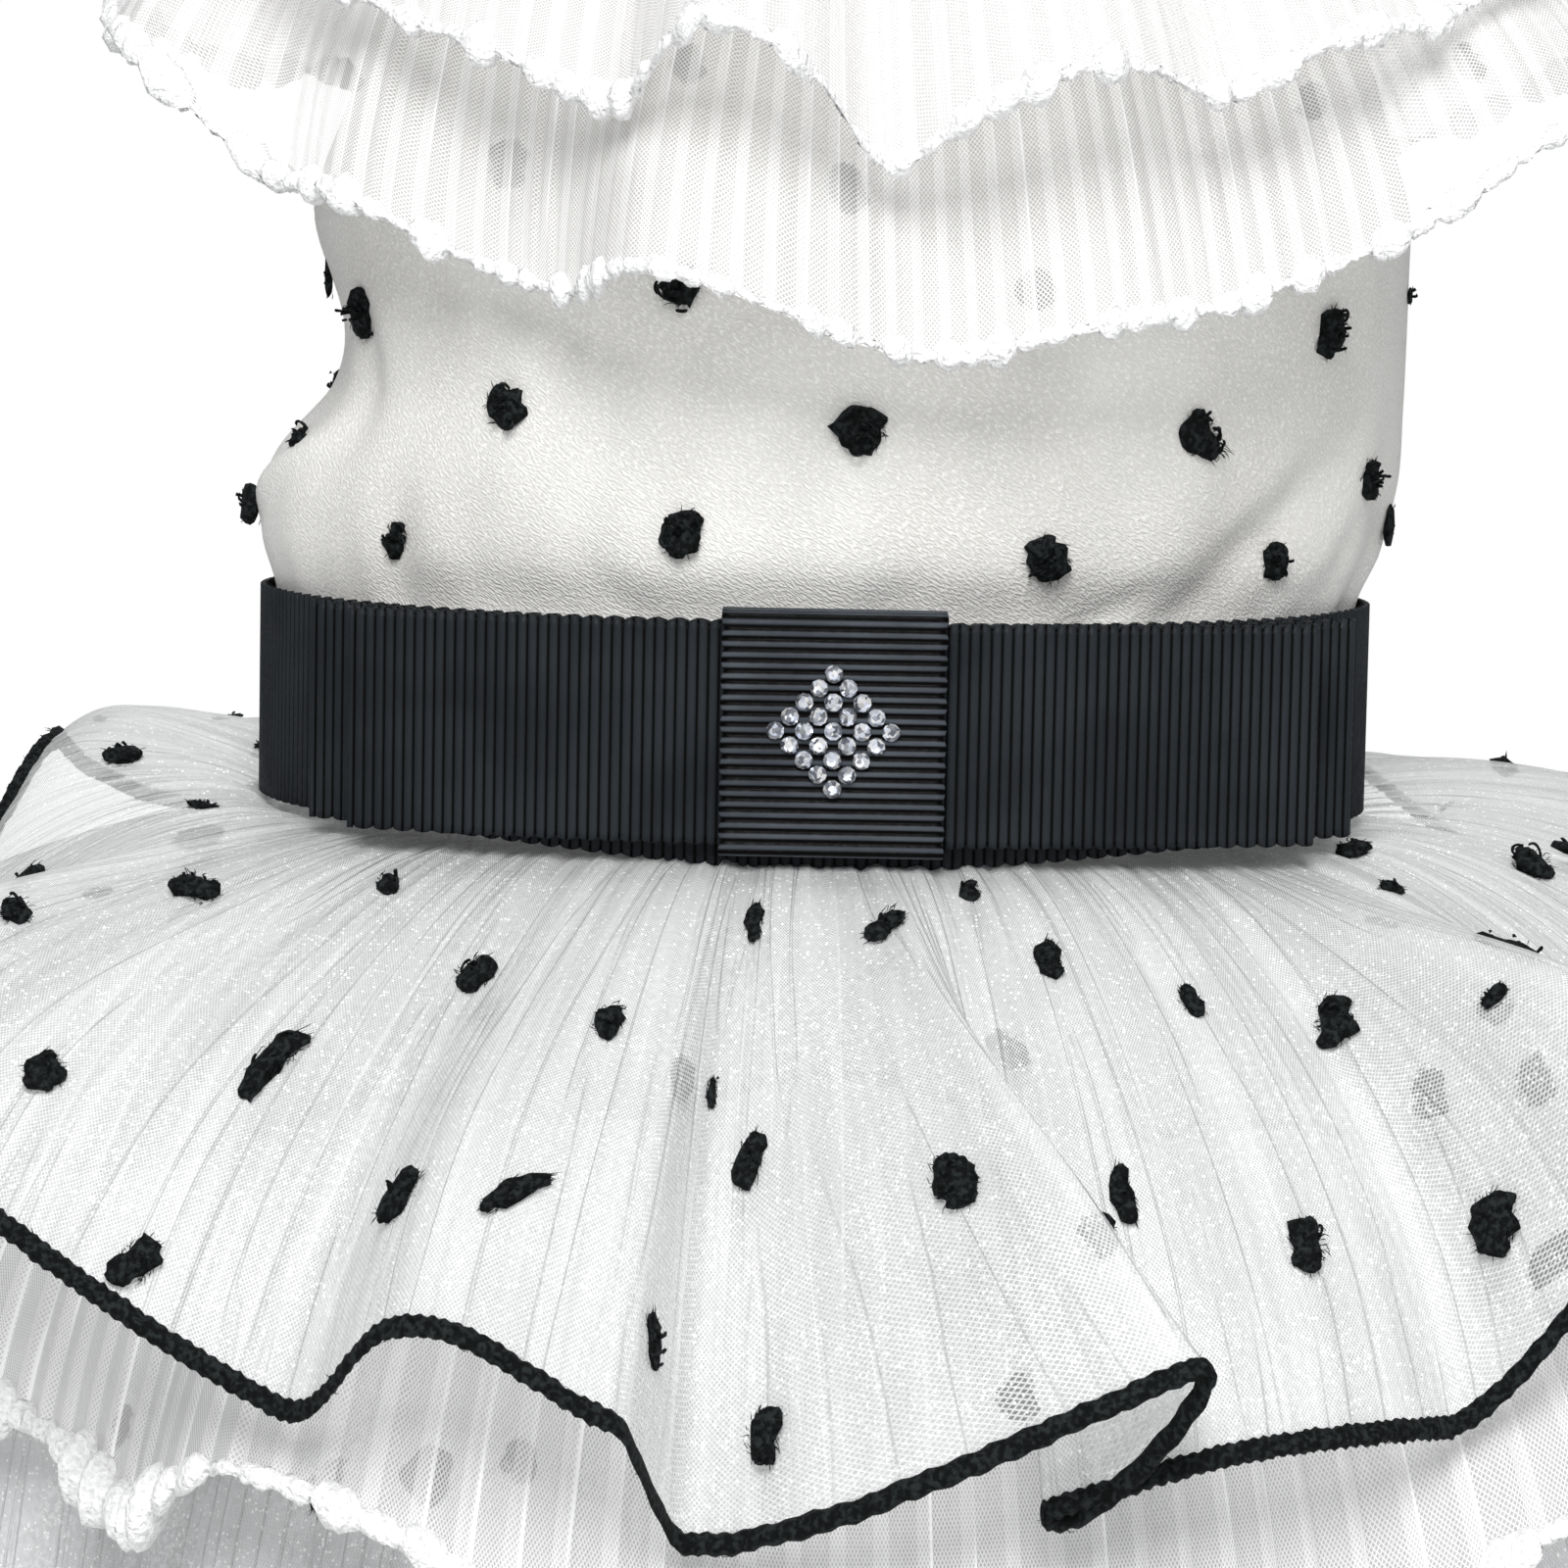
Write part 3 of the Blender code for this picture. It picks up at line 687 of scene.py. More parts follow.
def organza_finish(name, tone, open_alpha, count):
    """Sheer crisp cloth: streaks down from the gathers with painted shade and highlight, painted shade along
    thin crease lines, silvery specks painted white as a sparkle highlight, and gaps between the threads.
    """
    finish, tree, shader = new_finish(name, 0.4, Sheen_Weight=0.08, Sheen_Roughness=0.35)
    sparkle = use_group(tree, "sparkle", Size=0.40, Share=0.13)
    specks = sparkle["Specks"]
    grain = sparkle["Grain"]
    drift = use_group(tree, "drift", Size=11.0)["Drift"]
    streak = use_group(tree, "streak", Count=count)
    # painted shade and highlight of the gathers: broad streaks go darker, fine streaks lighter, crease lines
    # darker
    dark = scaled(tone, 0.86)
    base = blend_colours(tree, streak["Broad"], dark, tone)
    fine = blend_colours(tree, times(tree, streak["Fine"], 0.35), base, scaled(tone, 1.08))
    crease_shaded = blend_colours(tree, times(tree, streak["Lines"], 0.18), fine, dark)
    dusty = times(tree, map_range(tree, grain, 0.42, 0.62), drift)
    grained = blend_colours(tree, times(tree, dusty, 0.6), crease_shaded, (0.95, 0.96, 0.96))
    # silvery specks painted white, a painted sparkle highlight
    tree.links.new(blend_colours(tree, specks, grained, (1.0, 1.0, 1.0)), shader["Base Color"])
    net = use_group(tree, "net", Threads_across=1800.0, Threads_down=180.0, Width=0.32)
    closed = calc(tree, "MAXIMUM", net["Thread"], specks)
    gap = map_range(tree, streak["Broad"], 0.0, 1.0, open_alpha, min(1.0, open_alpha + 0.16))
    tree.links.new(blend_values(tree, closed, gap, 0.82), shader["Alpha"])
    tree.links.new(map_range(tree, specks, 0.0, 1.0, 0.45, 0.12), shader["Roughness"])
    relief = calc(tree, "SUBTRACT", calc(tree, "ADD", grain, streak["Fine"]), streak["Lines"])
    add_bump(tree, shader, relief, 0.18 * MM)
    return finish


def tulle_finish(name, tone, open_alpha, lapped_alpha, threads, overlap):
    """White net in knife pleats: single cloth is more open, the lapped part is whiter, the fold is whiter
    from its denser net and a painted highlight, and broad streaks carry painted shade.
    """
    finish, tree, shader = new_finish(name, 0.55, Sheen_Weight=0.12, Sheen_Roughness=0.5)
    pleat = use_group(tree, "pleat", Overlap=overlap)
    thread = use_group(tree, "net", Threads_across=threads, Threads_down=150.0, Width=0.32)["Thread"]
    streak = use_group(tree, "streak", Count=0.7)
    shaded = scaled(tone, 0.94)
    base = blend_colours(tree, pleat["Tone"], shaded, tone)
    # painted shade: broad streaks darken the net
    streak_shaded = blend_colours(tree, times(tree, streak["Broad"], 0.4), base, shaded)
    lapped = blend_colours(tree, times(tree, pleat["Overlap"], 0.3), streak_shaded, scaled(tone, 1.05))
    # the folded edge: whiter for its denser net, and painted near white on some edges as a painted highlight
    edge = times(tree, pleat["Edge"], map_range(tree, streak["Fine"], 0.3, 0.8, 0.15, 1.0))
    tree.links.new(blend_colours(tree, edge, lapped, (0.99, 0.99, 0.99)), shader["Base Color"])
    single = map_range(tree, thread, 0.0, 1.0, open_alpha, 0.84)
    double = map_range(tree, thread, 0.0, 1.0, lapped_alpha, 0.94)
    cover = blend_values(tree, pleat["Overlap"], single, double)
    tree.links.new(calc(tree, "MAXIMUM", cover, edge), shader["Alpha"])
    return finish


def fluff_finish(name, tone):
    """Fluffy yarn of the puffed hems: bright tops as a painted highlight and soft grey between the fibres as
    painted shade.
    """
    finish, tree, shader = new_finish(name, 0.85, Sheen_Weight=0.3, Sheen_Roughness=0.6)
    sparkle = use_group(tree, "sparkle", Size=0.45, Share=0.12)
    # painted shade: soft grey between the fibres
    soft = blend_colours(tree, map_range(tree, sparkle["Grain"], 0.34, 0.6), scaled(tone, 0.84), tone)
    # painted highlight: bright specks on the tops
    bright = blend_colours(tree, times(tree, sparkle["Specks"], 0.5), soft, (1.0, 1.0, 1.0))
    tree.links.new(bright, shader["Base Color"])
    add_bump(tree, shader, sparkle["Grain"], 0.7 * MM)
    return finish


def ribbon_finish(name="black_grosgrain", low=0.46, high=0.84, shine=1.12):
    """Black grosgrain: the ribs are lighter than the grooves between them, which carry painted shade; shine
    lifts the rib tone, a painted highlight on the knot's copy.
    """
    finish, tree, shader = new_finish(name, 0.5, Specular_IOR_Level=0.09)
    across, _ = print_axes(tree, 1.0, 1.0)
    crest = calc(tree, "SINE", times(tree, calc(tree, "FRACT", across), math.pi))
    drift = use_group(tree, "drift", Size=14.0)["Drift"]
    dull = scaled((0.0105, 0.0125, 0.0150), shine)
    bright = scaled((0.0185, 0.0215, 0.0250), shine)
    rib = blend_colours(tree, drift, dull, bright)
    # painted shade: the grooves between the ribs go near black
    tone = blend_colours(tree, map_range(tree, crest, low, high), (0.0004, 0.0004, 0.0006), rib)
    tree.links.new(tone, shader["Base Color"])
    grain = use_group(tree, "sparkle", Size=0.35)["Grain"]
    tree.links.new(map_range(tree, grain, 0.3, 0.7, 0.42, 0.62), shader["Roughness"])
    add_bump(tree, shader, grain, 0.05 * MM)
    return finish


def yarn_finish():
    """Matt black chenille and overlock yarn, with dark grey tips where light catches the fibres."""
    finish, tree, shader = new_finish("black_yarn", 0.85, Specular_IOR_Level=0.15)
    grain = use_group(tree, "sparkle", Size=0.42)["Grain"]
    lit = map_range(tree, grain, 0.42, 0.66)
    tone = blend_colours(tree, lit, (0.0015, 0.002, 0.0022), (0.016, 0.020, 0.021))
    tree.links.new(tone, shader["Base Color"])
    add_bump(tree, shader, grain, 0.3 * MM)
    return finish


def stone_finish():
    """Foil-backed glass stones: small facets painted some dark and some bright as painted reflections, under
    a clear coat.
    """
    finish, tree, shader = new_finish("clear_stone", 0.08, Metallic=0.6, Coat_Weight=1.0, Coat_Roughness=0.03)
    facets = add_node(tree, "TexVoronoi", {"Vector": object_place(tree), "Scale": 1.9 / MM})
    own = add_node(tree, "SeparateColor", {0: facets.outputs["Color"]})
    # painted reflections: facets painted dark and bright, in cool and warm tints
    cool = blend_colours(tree, own.outputs[1], (0.80, 0.86, 1.0), (1.0, 0.98, 0.94))
    lit = map_range(tree, own.outputs[0], 0.15, 0.6)
    tree.links.new(blend_colours(tree, lit, (0.16, 0.17, 0.20), cool), shader["Base Color"])
    return finish


SATIN = satin_finish()
BAND_SATIN = satin_finish("band_satin", 260.0, 12.0)
ORGANZA = organza_finish("sheer_organza", (0.79, 0.80, 0.795), 0.27, 84.0)
# a darker copy of the organza for the lowest tier, as painted shade under the tiers above
SHADED_LOW_ORGANZA = organza_finish("shaded_under_organza", (0.66, 0.665, 0.67), 0.60, 90.0)
TULLE = tulle_finish("pleated_net", (0.95, 0.943, 0.93), 0.30, 0.50, 6.0, 0.40)
# a darker copy of the pleated net for the second tier, as painted shade under the first tier
SHADED_SKIRT_TULLE = tulle_finish("shaded_pleated_skirt_net", (0.85, 0.845, 0.845), 0.30, 0.50, 12.0, 0.36)
FLUFF = fluff_finish("white_fluff", (0.97, 0.97, 0.97))
RIBBON = ribbon_finish()
# a lit copy of the ribbon for the knot: low, high and shine give thin painted highlight lines on its ribs
HIGHLIT_KNOT_RIBBON = ribbon_finish("knot_grosgrain_highlit", 0.80, 1.0, 3.7)
YARN = yarn_finish()
STONE = stone_finish()


# Cloth panels

HALVES = ("front", "back")
PLEAT_SLOPE = 0.84


def layer_halves(name, node, layer, columns, rows, raised, pleats, finish, tucked=True):
    """The front and back halves of a flared layer, with raised(azimuth, along) for its gathers or pleats."""
    made = []
    tuck = TUCK if tucked else 0.0
    for side, half in enumerate(HALVES):

        def place(across, down, side=side):
            azimuth = half_azimuth(side, across)
            along = down * (1.0 + tuck) - tuck
            return layer_point(layer, azimuth, along, raised(azimuth, max(along, 0.0)))

        def print_at(across, down, side=side):
            return (side + across) * pleats / 2.0, 1.0 - down

        shape = laid_grid(columns, rows, place, print_at)
        piece = finish_piece(f"{name}_{half}", shape, finish)
        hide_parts(f"{node}_{half}")
        made.append(piece)
    return made


def knife_pleat(share):
    """Height across one pleat: a long slope up to the folded edge and a short return under it."""
    return share / PLEAT_SLOPE if share < PLEAT_SLOPE else (1.0 - share) / (1.0 - PLEAT_SLOPE)


def pleats_of(count, depth, wander):
    """raised() for a pleated layer: knife pleats that deepen from the seam, each with its own width."""

    def raised(azimuth, along):
        turn = (azimuth / (2.0 * math.pi)) % 1.0 * count
        sway = wander * noise.noise(Vector((turn * 0.35, along * 1.5, 7.0)))
        share = (turn + sway) % 1.0
        own = 0.75 + 0.5 * chance(math.floor(turn), 1.0)
        soft = 0.4 * noise.noise(Vector((azimuth * 14.0, along * 3.0, 1.0)))
        return depth * smooth_step(along * 3.0) * (own * (knife_pleat(share) - 0.5) + soft)

    return raised


def gathers(azimuth, along):
    """raised() for organza: many fine gathers at the seam that open out into a few soft waves at the hem."""
    fine = noise.noise(Vector((azimuth * 34.0, along * 1.2, 2.0)))
    finest = noise.noise(Vector((azimuth * 75.0, along * 2.0, 5.0)))
    broad = noise.noise(Vector((azimuth * 11.0, along * 1.6, 9.0)))
    start = smooth_step(along * 14.0)
    close = (1.0 - along) ** 1.6
    return MM * start * (0.75 * fine * (0.25 + close) + 0.4 * finest * close + 0.8 * broad * along)


# Hems

PUFF_STEPS = 9
BLOCK_GROWTH = 2.0
HEM_THREAD_OUT = 1.2 * MM
HEM_LENGTH = 390.0 * MM
WRAP_STEPS = 3.6
HAIR_RADIUS = 0.08 * MM


def hem_line(layer, side, columns, along, raised, out):
    """Points along a layer's hem with the direction onward past the edge and the direction off its face."""
    line = []
    for column in range(columns + 1):
        azimuth = half_azimuth(side, column / columns)
        lift = raised(azimuth, along)
        edge = layer_point(layer, azimuth, along, lift)
        onward = (edge - layer_point(layer, azimuth, along - 0.03, lift)).normalized()
        off = (layer_point(layer, azimuth, along, lift + 0.5 * MM) - edge).normalized()
        line.append((edge + onward * out, onward, off))
    return line


def rolled_edge(name, line, sides, profile, finish):
    """A tube along a line. profile(step, angle) gives its half size along and off the cloth at each point."""
    columns = len(line) - 1

    def place(across, down):
        step = round(across * columns)
        centre, onward, off = line[step]
        angle = 2.0 * math.pi * down
        along, proud = profile(step, angle)
        return centre + onward * (along * math.cos(angle)) + off * (proud * math.sin(angle))

    shape = laid_grid(columns, sides, place, as_laid, closed_down=True)
    ends = [edge for edge in shape.edges if edge.is_boundary]
    bmesh.ops.holes_fill(shape, edges=ends, sides=0)
    bmesh.ops.recalc_face_normals(shape, faces=shape.faces)
    return finish_piece(name, shape, finish)


def edge_noise(along, angle, finer, seed):
    """Unevenness at a place round a rolled edge."""
    return noise.noise(Vector((along, math.cos(angle) * finer, math.sin(angle) * finer + seed)))


def fluffy_hem(name, layer, raised, puffs, half_high, half_thick, seed, blocks_left_of=None):
    """Puffed white yarn over a hem: a row of soft lumps of uneven size, pinched where the thread goes over.

    In front and left of the given place the lumps are big blocks, as the photograph shows on the second tier.
    """
    made = []
    columns = puffs * PUFF_STEPS
    for side, half in enumerate(HALVES):
        line = hem_line(layer, side, columns, 0.985, raised, 0.4 * half_high)

        def profile(step, angle, side=side):
            puff, part = divmod(step, PUFF_STEPS)
            pinch = math.sin(math.pi * (part + 0.5) / PUFF_STEPS) ** 0.6
            own = 0.72 + 0.56 * chance(puff, seed + side)
            spot = line[min(step, columns)][0]
            if blocks_left_of is not None and side == 0 and spot.x < blocks_left_of:
                own *= BLOCK_GROWTH
            rough = edge_noise(step * 0.45, angle, 1.3, seed)
            rougher = edge_noise(step * 1.1, angle, 3.1, -seed)
            size = (0.42 + 0.58 * pinch) * own + 0.28 * rough + 0.14 * rougher
            return half_high * size, half_thick * size

        piece = rolled_edge(f"{name}_{half}", line, 12, profile, FLUFF)
        made.append(piece)
    return made


def add_strand(shape, centres, radius, upright, sides=4):
    """A round thread through some points, closed to a point at both ends."""
    steps = len(centres) - 1
    made = bmesh.ops.create_grid(shape, x_segments=steps, y_segments=sides, size=1.0)
    for vert in made["verts"]:
        step = round((vert.co.x + 1.0) / 2.0 * steps)
        angle = (vert.co.y + 1.0) * math.pi
        onward = (centres[min(step + 1, steps)] - centres[max(step - 1, 0)]).normalized()
        side = onward.cross(upright)
        side = side.normalized() if side.length > 0.05 else onward.orthogonal().normalized()
        thick = 0.0 if step in (0, steps) else radius
        vert.co = centres[step] + (side * math.cos(angle) + onward.cross(side) * math.sin(angle)) * thick


def close_strands(shape):
    bmesh.ops.remove_doubles(shape, verts=shape.verts, dist=WELD)
    bmesh.ops.recalc_face_normals(shape, faces=shape.faces)


def overlocked_hem(name, node, layer, raised, step_length, half_high, half_thick, hairs):
    """Black thread wrapped closely over a sheer hem, with stray ends."""
    made = []
    columns = int(HEM_LENGTH / step_length)
    for side, half in enumerate(HALVES):
        line = hem_line(layer, side, columns, 1.0, raised, HEM_THREAD_OUT)

        def profile(step, angle):
            wrap = 0.13 * math.cos(2.0 * math.pi * step / WRAP_STEPS + angle)
            loose = 0.22 * edge_noise(step * 0.16, angle, 1.0, 0.0)
            looser = 0.13 * edge_noise(step * 0.7, angle, 2.0, 0.0)
            size = 1.0 + wrap + loose + looser
            return half_high * size, half_thick * size

        piece = rolled_edge(f"{name}_{half}", line, 8, profile, YARN)
        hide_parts(f"{node}_{half}")
        made.append(piece)
        shape = bmesh.new()
        for hair in range(hairs):
            spot, onward, off = line[int(chance(hair, side + 3.0) * columns)]
            angle = 2.0 * math.pi * chance(hair + 0.3, side + 7.0)
            way = onward * math.cos(angle) + off * math.sin(angle)
            drift = onward.cross(off) * (2.4 * chance(hair + 0.7, side + 9.0) - 1.2)
            root = spot + way * half_thick * 0.8
            long = (0.5 + 1.3 * chance(hair + 0.1, side + 5.0)) * MM
            middle = root + (way + drift * 0.5).normalized() * long * 0.5
            tip = root + (way * 0.7 + drift).normalized() * long
            add_strand(shape, [root - way * 0.3 * MM, root, middle, tip], HAIR_RADIUS, off, sides=3)
        close_strands(shape)
        loose_ends = finish_piece(f"{name}_hairs_{half}", shape, YARN)
        made.append(loose_ends)
    return made


# Ribbons

RIB_PITCH = 1.2 * MM
RIB_HEIGHT = 0.40 * MM
RIB_STEPS = 4
RIBBON_WIDTH = 25.0 * MM
EDGE_SCALLOP = 0.42 * MM
RIBBON_ROWS = (-1.0, -0.94, -0.82, 0.0, 0.82, 0.94, 1.0)


def even_points(path, closed, count):
    """count points at even spacing along a path of close points."""
    points = [*path, path[0]] if closed else list(path)
    far = [0.0]
    for first, second in zip(points, points[1:]):
        far.append(far[-1] + (second - first).length)
    made = []
    leg = 0
    total = count if closed else count - 1
    for step in range(count):
        want = far[-1] * step / total
        while leg < len(far) - 2 and far[leg + 1] < want:
            leg += 1
        share = (want - far[leg]) / (far[leg + 1] - far[leg])
        made.append(points[leg].lerp(points[leg + 1], share))
    return made


def path_length(path, closed):
    points = [*path, path[0]] if closed else list(path)
    return sum((b - a).length for a, b in zip(points, points[1:]))


def ribbed_ribbon(name, node, path, way, width, closed, thickness, finish=RIBBON):
    """Grosgrain along a path: ribs across it, and a small scallop at both edges over every second rib."""
    ribs = 2 * round(path_length(path, closed) / RIB_PITCH / 2.0)
    columns = ribs * RIB_STEPS
    points = even_points(path, closed, columns if closed else columns + 1)
    rows = len(RIBBON_ROWS) - 1

    def place(across, down):
        step = round(across * columns)
        at = step % columns if closed else step
        before = points[(at - 1) % columns] if closed else points[max(at - 1, 0)]
        after = points[(at + 1) % columns] if closed else points[min(at + 1, columns)]
        face = (after - before).cross(way).normalized()
        share = RIBBON_ROWS[round(down * rows)]
        rib = abs(math.sin(math.pi * step / RIB_STEPS))
        scallop = EDGE_SCALLOP * abs(math.sin(math.pi * step / RIB_STEPS / 2.0))
        reach = (width / 2.0 - EDGE_SCALLOP) * share
        if abs(share) == 1.0:
            reach += scallop * share
        return points[at] + way * reach + face * (RIB_HEIGHT * (rib - 0.5))

    shape = laid_grid(columns, rows, place, lambda across, down: (across * ribs, down), closed_across=closed)
    bmesh.ops.recalc_face_normals(shape, faces=shape.faces)
    piece = finish_piece(name, shape, finish)
    thicken(piece, thickness)
    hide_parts(node)


def belt_path():
    steps = 720
    middle = (BELT_HIGH + BELT_LOW) / 2.0
    half_width = BELT_HALF_WIDTH - CLOTH / 2.0
    half_depth = BELT_HALF_DEPTH - CLOTH / 2.0
    return [oval(half_width, half_depth, 0.0, 2.0 * math.pi * k / steps, middle) for k in range(steps)]


RIBBON_WALL = 0.8 * MM
LOOP_GAP = 1.0 * MM
LOOP_DEPTH = LOOP_GAP + 2 * RIBBON_WALL
BOW_SHIFT = 2.0 * MM
KNOT_WIDTH = 25.0 * MM
KNOT_CROWN = 0.3 * MM
KNOT_CORNER = 1.2 * MM
UNDER_LOOP_HALF = 59.5 * MM
UNDER_LOOP_BEND = 0.0049 / MM
UNDER_LOOP_SAG = 3.0 * MM
TOP_LOOP_HALF = 54.5 * MM
TOP_LOOP_BEND = 0.0035 / MM


def loop_path(half_length, bend, middle_y, sag):
    """A flattened ring of ribbon, bent back with the body at both ends and hanging a little in the middle."""
    flat = half_length - LOOP_DEPTH / 2.0
    radius = (LOOP_GAP + RIBBON_WALL) / 2.0
    steps = 60
    outline = []
    for way in (1.0, -1.0):
        outline += [(way * flat * (2.0 * k / steps - 1.0), -way * radius) for k in range(steps + 1)]
        outline += [
            (way * (flat + radius * math.sin(a)), -way * radius * math.cos(a)) for a in (0.6, 1.2, 1.9, 2.5)
        ]
    points = []
    for x, off in outline:
        lean = 2.0 * bend * x
        size = math.hypot(1.0, lean)
        side = BOW_SHIFT + x - off * lean / size
        fore = middle_y + bend * x * x + off / size
        points.append(Vector((side, fore, -BELT_BELOW_NECK - sag * bump(x / half_length))))
    return points


def knot_path(front_y):
    """The short ribbon over the loops, from the belt above them, round the front, to the belt below."""
    half = RIBBON_WIDTH / 2.0 + SEAM + RIBBON_WALL / 2.0
    back_y = -BELT_HALF_DEPTH - SEAM - BELT_FLARE
    soft = KNOT_CORNER
    middle_y = front_y + soft
    outline = [(back_y, half), (middle_y, half)]
    outline += [(middle_y - soft * math.sin(a), half - soft + soft * math.cos(a)) for a in (0.4, 0.8, 1.2)]
    outline += [(front_y, half - soft), (front_y - KNOT_CROWN, 0.0), (front_y, soft - half)]
    outline += [(middle_y - soft * math.cos(a), soft - half - soft * math.sin(a)) for a in (0.4, 0.8, 1.2)]
    outline += [(middle_y, -half), (back_y, -half)]
    return [Vector((BOW_SHIFT, y, z - BELT_BELOW_NECK)) for y, z in outline]


def make_ribbons():
    """The belt and the bow's three ribbons. Returns how far forward the knot's face lies."""
    ribbed_ribbon(
        "belt_grosgrain", "belt_ribbon", belt_path(), UP, RIBBON_WIDTH, True, 0.7 * MM,
    )
    under_y = -BELT_HALF_DEPTH - BELT_FLARE - SEAM - LOOP_DEPTH / 2.0
    under_path = loop_path(UNDER_LOOP_HALF, UNDER_LOOP_BEND, under_y, UNDER_LOOP_SAG)
    ribbed_ribbon(
        "bow_under_grosgrain", "bow_under_loops", under_path, UP, RIBBON_WIDTH, True, 0.5 * MM,
    )
    top_y = under_y - LOOP_DEPTH - SEAM
    top_path = loop_path(TOP_LOOP_HALF, TOP_LOOP_BEND, top_y, 0.0)
    ribbed_ribbon(
        "bow_top_grosgrain", "bow_top_loops", top_path, UP, RIBBON_WIDTH, True, 0.5 * MM,
    )
    front_y = top_y - LOOP_DEPTH / 2.0 - SEAM - RIBBON_WALL / 2.0
    ribbed_ribbon(
        "bow_knot_grosgrain", "bow_knot", knot_path(front_y), ACROSS, KNOT_WIDTH, False, 0.5 * MM,
        HIGHLIT_KNOT_RIBBON,
    )
    return front_y - KNOT_CROWN - RIB_HEIGHT / 2.0 - 0.25 * MM


# Tufts: black chenille dots. Their places in the photograph, and their sizes in millimetres

SEEN_DEPTH = 13.0 * MM
BODICE_TUFT_ROWS = 7
BODICE_TUFT_COLUMNS = 11
ROUND_TUFT = 0.30
FLAT_TUFT = 0.08
Tuft = namedtuple("Tuft", "x y long wide turn")
BODICE_TUFTS = (
    Tuft(375, 317, 6.0, 4.6, 10),
    Tuft(521, 417, 5.4, 4.6, 30),
    Tuft(313, 243, 5.0, 2.6, -25),
    Tuft(309, 450, 4.8, 2.8, 5),
    Tuft(408, 551, 4.4, 3.4, -15),
    Tuft(698, 544, 5.6, 4.8, -20),
    Tuft(698, 292, 4.2, 5.0, 60),
    Tuft(880, 440, 5.4, 5.4, 0),
    Tuft(1065, 568, 5.4, 5.0, 20),
    Tuft(1222, 447, 6.6, 4.4, 35),
    Tuft(1352, 338, 6.0, 4.4, -10),
    Tuft(1392, 490, 4.8, 3.6, 0),
    Tuft(1297, 572, 4.6, 3.4, -20),
    Tuft(1434, 272, 5.0, 2.6, 10),
    Tuft(1395, 612, 4.0, 2.6, 0),
)
FRILL_TUFTS = (
    Tuft(513, 168, 5.6, 5.2, 20),
    Tuft(868, 190, 5.6, 4.6, 0),
    Tuft(1055, 295, 4.6, 4.2, 30),
    Tuft(350, 75, 5.0, 2.8, 40),
    Tuft(700, 60, 5.0, 3.6, 0),
    Tuft(1340, 100, 4.6, 3.0, 0),
    Tuft(1500, 60, 4.6, 3.0, 20),
)
TIER_1_TUFTS = (
    Tuft(198, 912, 5.6, 4.2, 70),
    Tuft(45, 1097, 4.6, 4.2, 0),
    Tuft(15, 935, 4.0, 3.6, 40),
    Tuft(488, 1000, 5.2, 4.2, -40),
    Tuft(618, 1045, 6.0, 3.0, -18),
    Tuft(770, 942, 6.4, 1.9, -4),
    Tuft(903, 948, 6.8, 3.0, -38),
    Tuft(990, 912, 3.6, 2.0, 10),
    Tuft(1070, 982, 6.2, 2.9, 8),
    Tuft(1213, 1024, 4.8, 2.2, 25),
    Tuft(1363, 1045, 6.2, 4.4, -5),
    Tuft(1560, 886, 5.4, 4.4, 30),
    Tuft(411, 1222, 6.8, 3.8, -62),
    Tuft(523, 1216, 9.4, 2.5, -54),
    Tuft(766, 1186, 6.4, 3.0, -14),
    Tuft(724, 1115, 3.8, 1.4, -10),
    Tuft(976, 1210, 6.4, 5.0, 18),
    Tuft(1145, 1222, 7.0, 2.5, 12),
    Tuft(1330, 1273, 6.4, 4.2, 8),
    Tuft(1527, 1248, 7.2, 5.0, -15),
    Tuft(140, 1290, 6.4, 4.0, -40),
    Tuft(275, 1085, 11.0, 3.2, -32),
    Tuft(664, 1368, 6.2, 2.3, 12),
    Tuft(783, 1466, 6.2, 4.0, -12),
    Tuft(127, 775, 5.0, 3.4, 80),
    Tuft(266, 764, 3.6, 2.0, 0),
    Tuft(205, 824, 4.0, 1.6, 70),
    Tuft(395, 905, 3.4, 2.6, 0),
    Tuft(1380, 872, 5.2, 3.2, -35),
    Tuft(1418, 908, 4.6, 2.0, -45),
    Tuft(1527, 1018, 3.4, 2.2, -60),
)
UNDER_TUFTS = (
    Tuft(713, 1095, 6.0, 4.2, -30),
    Tuft(1027, 1060, 6.0, 3.6, 35),
    Tuft(1120, 1250, 5.4, 3.6, 20),
    Tuft(1450, 1112, 5.6, 4.2, 0),
    Tuft(1555, 1100, 5.6, 4.6, 20),
    Tuft(1413, 922, 4.2, 3.0, 40),
    Tuft(1516, 1020, 4.4, 3.8, 60),
    Tuft(1576, 1280, 8.0, 4.0, -50),
    Tuft(202, 840, 6.0, 4.4, -60),
    Tuft(100, 892, 4.0, 2.4, -40),
    Tuft(1030, 1425, 5.0, 4.0, 0),
    Tuft(107, 1452, 5.0, 4.0, -30),
    Tuft(321, 1510, 6.4, 3.4, -30),
    Tuft(432, 1503, 6.4, 5.0, 0),
    Tuft(525, 1486, 5.0, 3.6, 0),
)


def surface_tree(objects):
    """One search tree over the finished faces of some pieces."""
    shape = bmesh.new()
    for piece in objects:
        shape.from_mesh(piece.data)
    tree = BVHTree.FromBMesh(shape)
    shape.free()
    return tree


def join_shape(shape, part):
    """Puts a finished small shape into a larger one, and frees it."""
    mesh = bpy.data.meshes.new("joined")
    part.to_mesh(mesh)
    part.free()
    shape.from_mesh(mesh)
    bpy.data.meshes.remove(mesh)


